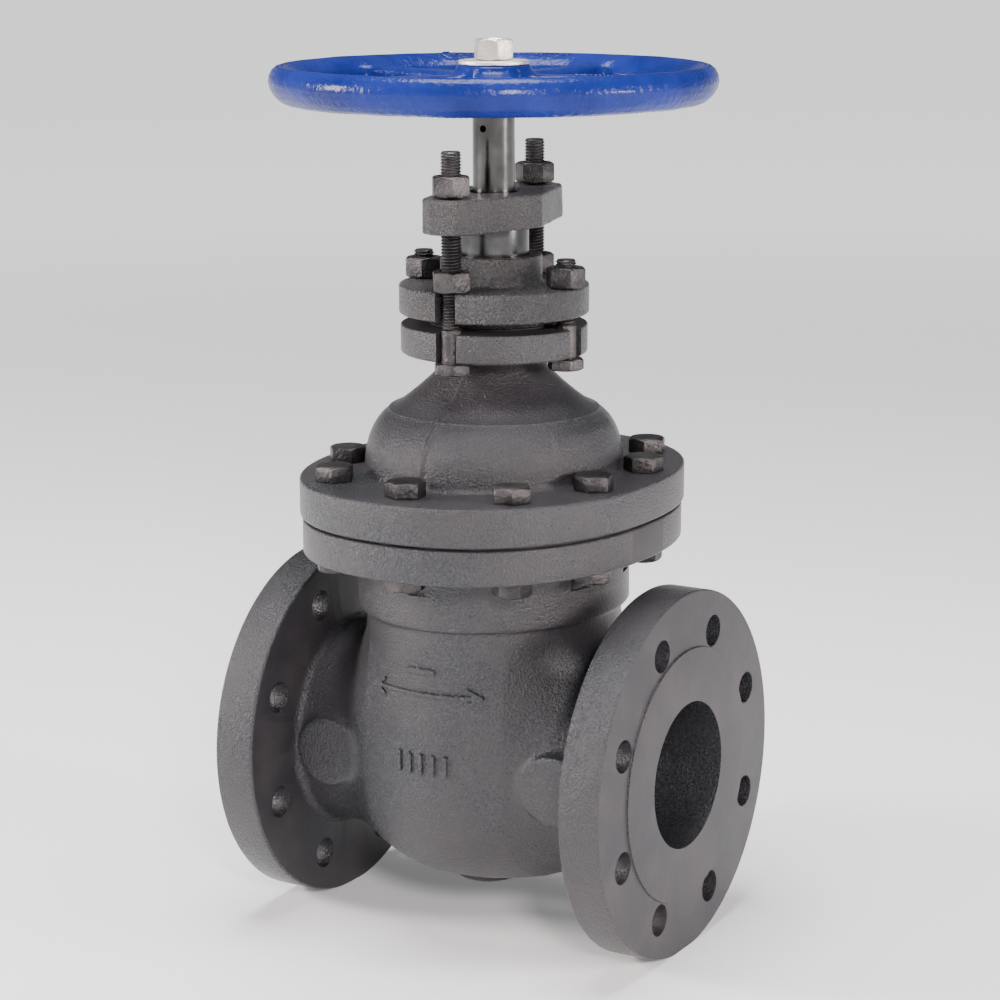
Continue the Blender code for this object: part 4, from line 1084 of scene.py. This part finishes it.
# %% [markdown]
# ## Stuffing box
#
# The stuffing box is a cup of packing round the stem, bolted to the bonnet. It is one turned
# shape with slots front and back, where the long gland bolts swing in, and round holes at the
# sides for the short ones.

# %% Stuffing box
BOX_TOP, BOX_PILOT = top("stuffing_box"), bottom("stuffing_box")
BOX_FLANGE_TOP = BOX_TOP - 19.7 * MM
BOX_FLANGE_BOTTOM = BOX_FLANGE_TOP - 20.2 * MM
BOX_BOTTOM = BOX_FLANGE_BOTTOM - 5.6 * MM
BOX_RADIUS, BOX_FOOT_RADIUS, BOX_NECK_RADIUS = 65.0 * MM, 44.0 * MM, 33.0 * MM
PACKING_RADIUS, PACKING_FLOOR = 24.1 * MM, bottom("packing_ring_1") - FIT
PILOT_RADIUS, STEM_HOLE = 25.3 * MM, 14.6 * MM
SMALL_BOLT_RADIUS = 7.15 * MM

box_solid = lathe([
    (PILOT_RADIUS, BOX_PILOT, 0.5 * MM), (PILOT_RADIUS, BOX_BOTTOM, 0.5 * MM),
    (BOX_FOOT_RADIUS, BOX_BOTTOM, 0.6 * MM), (BOX_FOOT_RADIUS, BOX_FLANGE_BOTTOM, 2 * MM),
    (BOX_RADIUS, BOX_FLANGE_BOTTOM, 1.8 * MM), (BOX_RADIUS, BOX_FLANGE_TOP, 1.8 * MM),
    (BOX_NECK_RADIUS, BOX_FLANGE_TOP, 4 * MM), (BOX_NECK_RADIUS, BOX_TOP, 1.6 * MM),
    (PACKING_RADIUS, BOX_TOP, 0.8 * MM), (PACKING_RADIUS, PACKING_FLOOR, 0),
    (STEM_HOLE, PACKING_FLOOR, 0), (STEM_HOLE, BOX_PILOT, 0),
], 160)
box_flange = (BOX_FLANGE_BOTTOM, BOX_FLANGE_TOP)
box_shape = worked(
    box_solid,
    ("DIFFERENCE", slots((90, 270), *box_flange)),
    ("DIFFERENCE", holes(SMALL_BOLT_RADIUS + FIT, *box_flange, [(-SLOT_CIRCLE, 0), (SLOT_CIRCLE, 0)])),
)
finished("stuffing_box_casting", box_shape, "root", "cast_iron", ["stuffing_box"], [rough_cast])

# %% [markdown]
# ## Gland
#
# The gland flange is the roughest casting on the valve: a lozenge with a lobe about each long
# bolt, with flats where the pattern was filed. It presses the bright follower tube down on
# the packing.

# %% Gland flange and follower
GLAND_BOTTOM, GLAND_TOP = bottom("gland_flange"), top("gland_flange")
GLAND_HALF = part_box("gland_flange")[1].x
LOBE_RADIUS, FOLLOWER_RADIUS, GLAND_EYE = 20.0 * MM, 23.8 * MM, 17.0 * MM
SOCKET_TOP, SLIDING_FIT = GLAND_BOTTOM + 7.0 * MM, 0.6 * MM


TINY = 1e-12              # stands for the height of a level side, to divide by


def outline_field(x, y, corners):
    """Distance in a plane to a closed outline, negative inside it."""
    nearest, sign = 1.0, 1.0
    for k, (x1, y1) in enumerate(corners):
        x0, y0 = corners[k - 1]
        nearest = np.minimum(nearest, from_line(x, y, (x0, y0), (x1, y1)))
        reached = x - x0 < (x1 - x0) * (y - y0) / ((y1 - y0) or TINY)
        crosses = ((y0 > y) != (y1 > y)) & reached
        sign = np.where(crosses, -sign, sign)
    return nearest * sign


lobe_lean = math.degrees(math.atan2(GLAND_HALF - LOBE_RADIUS, SLOT_CIRCLE))
gland_corners = []
for centre, start in ((SLOT_CIRCLE, lobe_lean), (-SLOT_CIRCLE, 180 + lobe_lean)):
    for angle in np.radians(np.linspace(start, start + 180 - 2 * lobe_lean, 6)):
        gland_corners.append((LOBE_RADIUS * math.cos(angle), centre + LOBE_RADIUS * math.sin(angle)))
    gland_corners.append((-math.copysign(GLAND_HALF, centre), 0.0))


def gland_field(x, y, z):
    middle, half = (GLAND_BOTTOM + GLAND_TOP) / 2, (GLAND_TOP - GLAND_BOTTOM) / 2
    plate = capped(outline_field(x, y, gland_corners), np.abs(z - middle) - half + 0.4 * MM, 2.2 * MM)
    return plate + 0.4 * MM + ripple(x, y, z, 9 * MM, 0.4 * MM)


gland_reach = SLOT_CIRCLE + LOBE_RADIUS + 2 * MM
long_bolts = [(0, -SLOT_CIRCLE), (0, SLOT_CIRCLE)]
socket = [
    (FOLLOWER_RADIUS + FIT, GLAND_BOTTOM - PAST), (FOLLOWER_RADIUS + FIT, SOCKET_TOP),
    (GLAND_EYE, SOCKET_TOP), (GLAND_EYE, GLAND_TOP + PAST),
]
gland_low = (-GLAND_HALF - 2 * MM, -gland_reach, GLAND_BOTTOM - 2 * MM)
gland_high = (GLAND_HALF + 2 * MM, gland_reach, GLAND_TOP + 2 * MM)
gland_shape = worked(
    surface(gland_field, gland_low, gland_high, 1.2 * MM),
    ("DIFFERENCE", turned(socket, 96)),
    ("DIFFERENCE", holes(SMALL_BOLT_RADIUS + SLIDING_FIT, GLAND_BOTTOM, GLAND_TOP, long_bolts)),
)
finished("gland_flange_casting", gland_shape, "gland", "cast_iron", ["gland_flange"], [rough_cast])


def tube(outer, inner, node, edge=0.6 * MM):
    """A ring as tall as its engineering part."""
    return collar(outer, inner, bottom(node), top(node), [edge] * 4)


follower = tube(FOLLOWER_RADIUS, STEM_HOLE, "gland_follower")
finished("gland_follower_tube", follower, "gland", "bright_steel", ["gland_follower"], [tube_steel])

# %% [markdown]
# Four bolts hold the stuffing box down, and the two long ones go on up through the gland. Their
# heads hang under the bonnet's top flange. The thread runs from just above that flange to the
# tip, so that the bright plain shank shows only in the slots.

# %% Gland bolts and nuts
SMALL_HEAD_FLATS, SMALL_HEAD = 22.2 * MM, 8.0 * MM
THREAD_START = BONNET_TOP + MM


def gland_bolt(node):
    """A bolt as long as its engineering part: hexagon head, plain shank and thread."""
    low, high = bottom(node), top(node)
    head = hexagon(SMALL_HEAD_FLATS, low, low + SMALL_HEAD)
    plain = rod(SMALL_BOLT_RADIUS - 0.05 * MM, low + MM, THREAD_START + MM, 48)
    thread = threaded(SMALL_BOLT_RADIUS, THREAD_START, high, THREAD_PITCH, THREAD_DEPTH)
    return worked(head, ("UNION", plain), ("UNION", thread))


def nut_on(node, radius=SMALL_BOLT_RADIUS):
    return hexagon(HEX, bottom(node), top(node), hole=radius + 0.2 * MM)


FRONT, BACK = (0.0, -SLOT_CIRCLE, 0.10), (0.0, SLOT_CIRCLE, 0.42)
RIGHT, LEFT = (SLOT_CIRCLE, 0.0, 0.22), (-SLOT_CIRCLE, 0.0, -0.1)
long_nodes = ["gland_bolt_front", "gland_bolt_back"]
short_nodes = ["box_bolt_right", "box_bolt_left"]
nut_nodes = [node.replace("bolt", "bolt_nut") for node in long_nodes + short_nodes]
top_nodes = ["gland_top_nut_front", "gland_top_nut_back"]
placed("long_gland_bolts", gland_bolt("gland_bolt_front"), [FRONT, BACK], *dark, long_nodes)
placed("short_box_bolts", gland_bolt("box_bolt_right"), [RIGHT, LEFT], *dark, short_nodes)
placed("box_nuts", nut_on("box_bolt_nut_right"), [FRONT, BACK, RIGHT, LEFT], *dark, nut_nodes)
top_nut = nut_on("gland_top_nut_front")
placed("gland_nuts", top_nut, [FRONT, BACK], bolt_steel, "gland", "dark_steel", top_nodes)

# %% [markdown]
# ## Stem
#
# The stem turns but doesn't rise. A collar holds it between the bonnet and the stuffing box, a
# coarse thread below lifts the wedge, and a square at the top carries the handwheel.

# %% Stem
STEM_LEAD, STEM_THREAD_DEPTH = 6.35 * MM, 2.4 * MM
stem_low, stem_top = bottom("stem"), top("stem")
HUB_BOTTOM, HUB_TOP = top("gland_bolt_front") + 28.7 * MM, bottom("wheel_washer") - FIT
COLLAR_TOP = BOX_PILOT - FIT
COLLAR_LOW = COLLAR_TOP - 10.4 * MM
STEM_END_RADIUS, SQUARE_HALF = 7.9 * MM, 9.5 * MM
CROSS_HOLE, CROSS_DROP = 2.4 * MM, 17 * MM
stem_collar = collar(PILOT_RADIUS, 5 * MM, COLLAR_LOW, COLLAR_TOP, (0.6 * MM, 0.6 * MM, 0, 0))
shoulder = HUB_BOTTOM - FIT
journal = [(STEM_RADIUS, bush_bottom), (STEM_RADIUS, shoulder - MM), (STEM_RADIUS - MM, shoulder)]
cross = [(CROSS_HOLE, -STEM_RADIUS - PAST), (CROSS_HOLE, STEM_RADIUS + PAST)]
square = block((-SQUARE_HALF, -SQUARE_HALF, HUB_BOTTOM - MM), (SQUARE_HALF, SQUARE_HALF, HUB_TOP - MM))
screw_radius = STEM_RADIUS - 0.02 * MM
screw = threaded(screw_radius, stem_low, bush_bottom + MM, STEM_LEAD, STEM_THREAD_DEPTH, 48)
stem_shape = worked(
    turned(journal, 128),
    ("UNION", stem_collar),
    ("UNION", screw),
    ("UNION", square),
    ("UNION", threaded(STEM_END_RADIUS, HUB_TOP - 2 * MM, stem_top, THREAD_PITCH, THREAD_DEPTH, 40)),
    ("DIFFERENCE", moved(turned(cross, 32), turn("X", 90), shift(z=HUB_BOTTOM - CROSS_DROP))),
)
finished("stem_turned", stem_shape, "stem", "bright_steel", ["stem"], [stem_steel])

# %% [markdown]
# ## Handwheel
#
# The wheel is one casting, so it is a field too: a rim with a flat-sided section, five flat arms
# and a hub, all blended. The rim's section is drawn as an outline of radius and height in
# millimetres from its outer edge and its underside: nearly upright and rounded outside, highest
# along a ridge, and sloping down inwards.

# %% Handwheel
RIM_TOP, RIM_LOW, RIM_EDGE = top("handwheel"), bottom("handwheel"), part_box("handwheel")[1].x
HUB_RADIUS, SPOKES, FIRST_SPOKE = 24.5 * MM, 5, 16.0
SPOKE_HALF, SPOKE_THICK = 9.3 * MM, 6.0 * MM
SPOKE_END, SPOKE_WAIST, SPOKE_FLARE = 134.0 * MM, 79.0 * MM, 2.5 * MM
RIM_MIDDLE, RIM_ARROW_AT = 137.5 * MM, 117
HUB_BLEND, RIM_BLEND, HUB_FLAT = 9 * MM, 8 * MM, 40 * MM
rim_section = [
    (-17, 1.5), (-12, 0), (-7.5, 1.8), (-3.6, 5.6), (-1.0, 10.2), (0, 14.8), (-0.8, 18.8), (-2.8, 22.4),
    (-6, 24.8), (-9.5, 25.2), (-14, 23.6), (-19, 20.6), (-23, 17), (-25.2, 12), (-24, 6.5), (-20.5, 3),
]
rim_section = [(RIM_EDGE + MM * r, RIM_LOW + MM * z) for r, z in rim_section]


def along_arm(x, y, degrees):
    """Distances along and across a line out from the hub at an angle."""
    angle = math.radians(degrees)
    cos, sin = math.cos(angle), math.sin(angle)
    return x * cos + y * sin, y * cos - x * sin


def wheel_field(x, y, z):
    reach = np.hypot(x, y)
    rim = outline_field(reach, z, rim_section)
    hub_middle, hub_half = (HUB_BOTTOM + HUB_TOP) / 2, (HUB_TOP - HUB_BOTTOM) / 2
    hub = capped(reach - HUB_RADIUS, np.abs(z - hub_middle) - hub_half, 2.0 * MM)
    arms = 1.0
    for k in range(SPOKES):
        along, across = along_arm(x, y, FIRST_SPOKE + 360 * k / SPOKES)
        ends = np.clip(np.abs(along - SPOKE_WAIST) / (SPOKE_END - SPOKE_WAIST), 0, 1) ** 3
        half_width = SPOKE_HALF + SPOKE_FLARE * ends
        flat = capped(np.abs(across) - half_width, np.abs(z - hub_middle) - SPOKE_THICK, 3.6 * MM)
        arms = np.minimum(arms, capped(flat, np.abs(along - SPOKE_END / 2) - SPOKE_END / 2, 2 * MM))
    iron = blend(blend(hub, arms, HUB_BLEND), rim, RIM_BLEND)
    top_side = np.maximum(z - HUB_TOP, HUB_BOTTOM - z)
    iron = np.where(reach < HUB_FLAT, np.maximum(iron, top_side), iron)
    return iron + ripple(x, y, z, 15 * MM, 0.25 * MM) * np.clip((reach - 30 * MM) / (20 * MM), 0, 1)


def wheel_arrows(x, y, z):
    """Two raised arrows: one round the rim, and one out along an arm."""
    angle = np.arctan2(y, x) - math.radians(RIM_ARROW_AT)
    round_rim = strokes(angle * RIM_MIDDLE, np.hypot(x, y) - RIM_MIDDLE - MM, WHEEL_ARROW, 1.3 * MM)
    along, across = along_arm(x, y, FIRST_SPOKE)
    on_arm = strokes(along - ARM_ARROW_AT, across, ARM_ARROW, 1.2 * MM)
    return np.maximum(np.minimum(round_rim, on_arm), (HUB_BOTTOM + HUB_TOP) / 2 - z)


WHEEL_ARROW, ARM_ARROW, ARM_ARROW_AT = arrow(46, 6, 4.8), arrow(24, 5, 4), 80 * MM
WHEEL_REACH = RIM_EDGE + 2 * MM
wheel_low = (-WHEEL_REACH, -WHEEL_REACH, RIM_LOW - 2 * MM)
wheel_high = (WHEEL_REACH, WHEEL_REACH, RIM_TOP + 2 * MM)
arrow_low, arrow_high = (-120 * MM, 0.0, HUB_BOTTOM + 8 * MM), (120 * MM, 150 * MM, RIM_TOP + 3 * MM)
arrow_iron = raised(wheel_field, wheel_arrows, 0.7 * MM)
eye, WHEEL_PITCH = SQUARE_HALF + FIT, 1.45 * MM
wheel_shape = worked(
    surface(wheel_field, wheel_low, wheel_high, WHEEL_PITCH),
    ("UNION", surface(arrow_iron, arrow_low, arrow_high, MARK_PITCH)),
    ("DIFFERENCE", block((-eye, -eye, RIM_LOW - MM), (eye, eye, RIM_TOP + MM))),
)
finished("handwheel_casting", wheel_shape, "stem", "blue_enamel", ["handwheel"], [blue])

WASHER_RADIUS, WASHER_EYE = 23.6 * MM, 8.5 * MM
washer = tube(WASHER_RADIUS, WASHER_EYE, "wheel_washer")
finished("wheel_washer_plated", washer, "stem", "zinc_plate", ["wheel_washer"], [zinc])
wheel_nut = moved(nut_on("wheel_nut", STEM_END_RADIUS), turn("Z", 12))
finished("wheel_nut_plated", wheel_nut, "stem", "zinc_plate", ["wheel_nut"], [zinc])

# %% [markdown]
# ## Seats and wedge
#
# Through the bore the closed wedge shows as a plain disc ringed by the bronze seats. The seats lean
# five degrees, so each ring is turned and then cut on the slope.

# %% Seats and wedge
TAPER, WEDGE_RADIUS, WEDGE_HALF = 5.0, 62.0 * MM, 28.0 * MM
FACE_THICKNESS, SEAT_ROOT = 4.0 * MM, 20.0 * MM
WIDE = 0.2                # reaches past the whole ring
slope = (turn("Y", TAPER), shift(x=WEDGE_HALF))


def at_pipe(shape, side):
    """Turned to a side of the valve and lifted to the pipe axis."""
    return moved(shape, SIDES[side], PIPE_AXIS)


for side in SIDES:
    seat = lathe([
        (WEDGE_RADIUS - MM, SEAT_ROOT, 0), (WEDGE_RADIUS - MM, SEAT_BOSS_FACE - FIT, 0.5 * MM),
        (SEAT_POCKET_RADIUS - FIT, SEAT_BOSS_FACE - FIT, 0),
        (SEAT_POCKET_RADIUS - FIT, SEAT_POCKET_END - FIT, 0.5 * MM),
        (BORE_RADIUS, SEAT_POCKET_END - FIT, 0.6 * MM), (BORE_RADIUS, SEAT_ROOT, 0),
    ])
    off = moved(block((-WIDE, -WIDE, -WIDE), (FIT, WIDE, WIDE)), *slope)
    seat_shape = at_pipe(worked(moved(seat, ALONG_X), ("DIFFERENCE", off)), side)
    finished(f"seat_ring_{side}_turned", seat_shape, "root", "bronze", [f"seat_ring_{side}"], [bronze])
    face = collar(WEDGE_RADIUS - MM, BORE_RADIUS, -FACE_THICKNESS, 0, (0, 0.4 * MM, 0.4 * MM, 0))
    face_shape = at_pipe(moved(face, ALONG_X, *slope), side)
    finished(f"wedge_face_{side}_turned", face_shape, "wedge", "bronze", [f"wedge_face_{side}"], [bronze])

inner_finish = {"wedge": cast, "stem_bush": bronze, "stem_nut": bronze}
soft_parts = ["bonnet_gasket", "stuffing_box_gasket"] + [f"packing_ring_{k}" for k in range(1, 5)]
for node in [*inner_finish, *soft_parts]:
    skins = frame["nodes"][node].data.materials
    skins.clear()
    skins.append(inner_finish.get(node, graphite))
print("nodes still shown:", [name for name, node in frame["nodes"].items() if not node.hide_render])

# %% [markdown]
# ## Stage, light and camera
#
# The valve stands on a white sweep that glows a little more with distance; that glow is painted light,
# faint near the valve and bright far off. A wide lamp hangs overhead for the tops of the flanges, and
# three small ones, left, right and in front, draw the bright edges and the sparkle of the sand grain.
# The sky is dim but for a band at the horizon, which gives surfaces seen at a low angle their sheen.
# The camera stands two metres off, in front and to the right, and looks down by twelve degrees.

# %% Stage, lights, camera
FLOOR, FLOOR_DEPTH = 25.0, 0.02
MIDDLE = (0.0, 0.0, 0.3)
WHITE, ROSE = (1.0, 1.0, 1.0), (1.0, 0.93, 0.91)
floor = linked("floor", block((-FLOOR, -FLOOR, -FLOOR_DEPTH), (FLOOR, FLOOR, 0.0)))
glowing_sweep = Finish("white_glowing_sweep", Roughness=0.9, Emission_Strength=1.0)
glowing_sweep.feed("Base Color", (0.93, 0.93, 0.93, 1.0))
# Painted light: the floor's emission is faint near the valve and bright far off, so the distance reads
# white.
glow_by_distance = glowing_sweep.place.length().ramp(0.8, 5.0)
glowing_sweep.feed("Emission Color", glow_by_distance.colour((0.14, 0.14, 0.14), (1.1, 1.1, 1.1)))
floor.data.materials.append(glowing_sweep.material)

world = bpy.data.worlds.new("studio")
bpy.context.scene.world = world
world.use_nodes = True
sky = world.node_tree.nodes.new("ShaderNodeTexCoord")
direction = Value(world.node_tree, sky.outputs["Generated"])
height = direction.node("ShaderNodeSeparateXYZ", {}, {"Vector": direction}, 2)
glow = (1 - height.ramp(0.02, 0.2)).colour((0.11, 0.115, 0.12), (0.62, 0.60, 0.62))
world.node_tree.links.new(glow.socket, world.node_tree.nodes["Background"].inputs["Color"])


def lamp(name, place, size, power, colour=WHITE):
    """A round lamp, its size in metres and its power in watts, aimed at the middle of the valve."""
    light = bpy.data.lights.new(name, "AREA")
    light.shape, light.size, light.energy, light.color = "DISK", size, power, colour
    holder = added(name, light)
    holder.location = place
    holder.rotation_euler = (Vector(MIDDLE) - Vector(place)).to_track_quat("-Z", "Y").to_euler()
    return holder


lamps = [
    lamp("overhead", (-0.1, -0.1, 2.6), 1.5, 100),
    lamp("left", (-2.2, -1.5, 1.2), 0.7, 105, ROSE),
    lamp("right", (2.6, 0.3, 0.8), 0.6, 60, (1.0, 0.92, 0.90)),
    lamp("front", (1.8, -2.2, 1.5), 0.5, 75, ROSE),
]
camera = added("camera", bpy.data.cameras.new("camera"))
camera.data.lens = 98.83
right = Vector((0.86375, 0.50391, -0.00205))
upward = Vector((-0.10678, 0.18701, 0.97654))
facing = Matrix((right, upward, right.cross(upward))).transposed().to_4x4()
camera.matrix_world = shift(0.94118, -1.60420, 0.71035) @ facing
bpy.context.scene.camera = camera
print("lamps:", [holder.name for holder in lamps], "lens", round(camera.data.lens, 1), "mm")
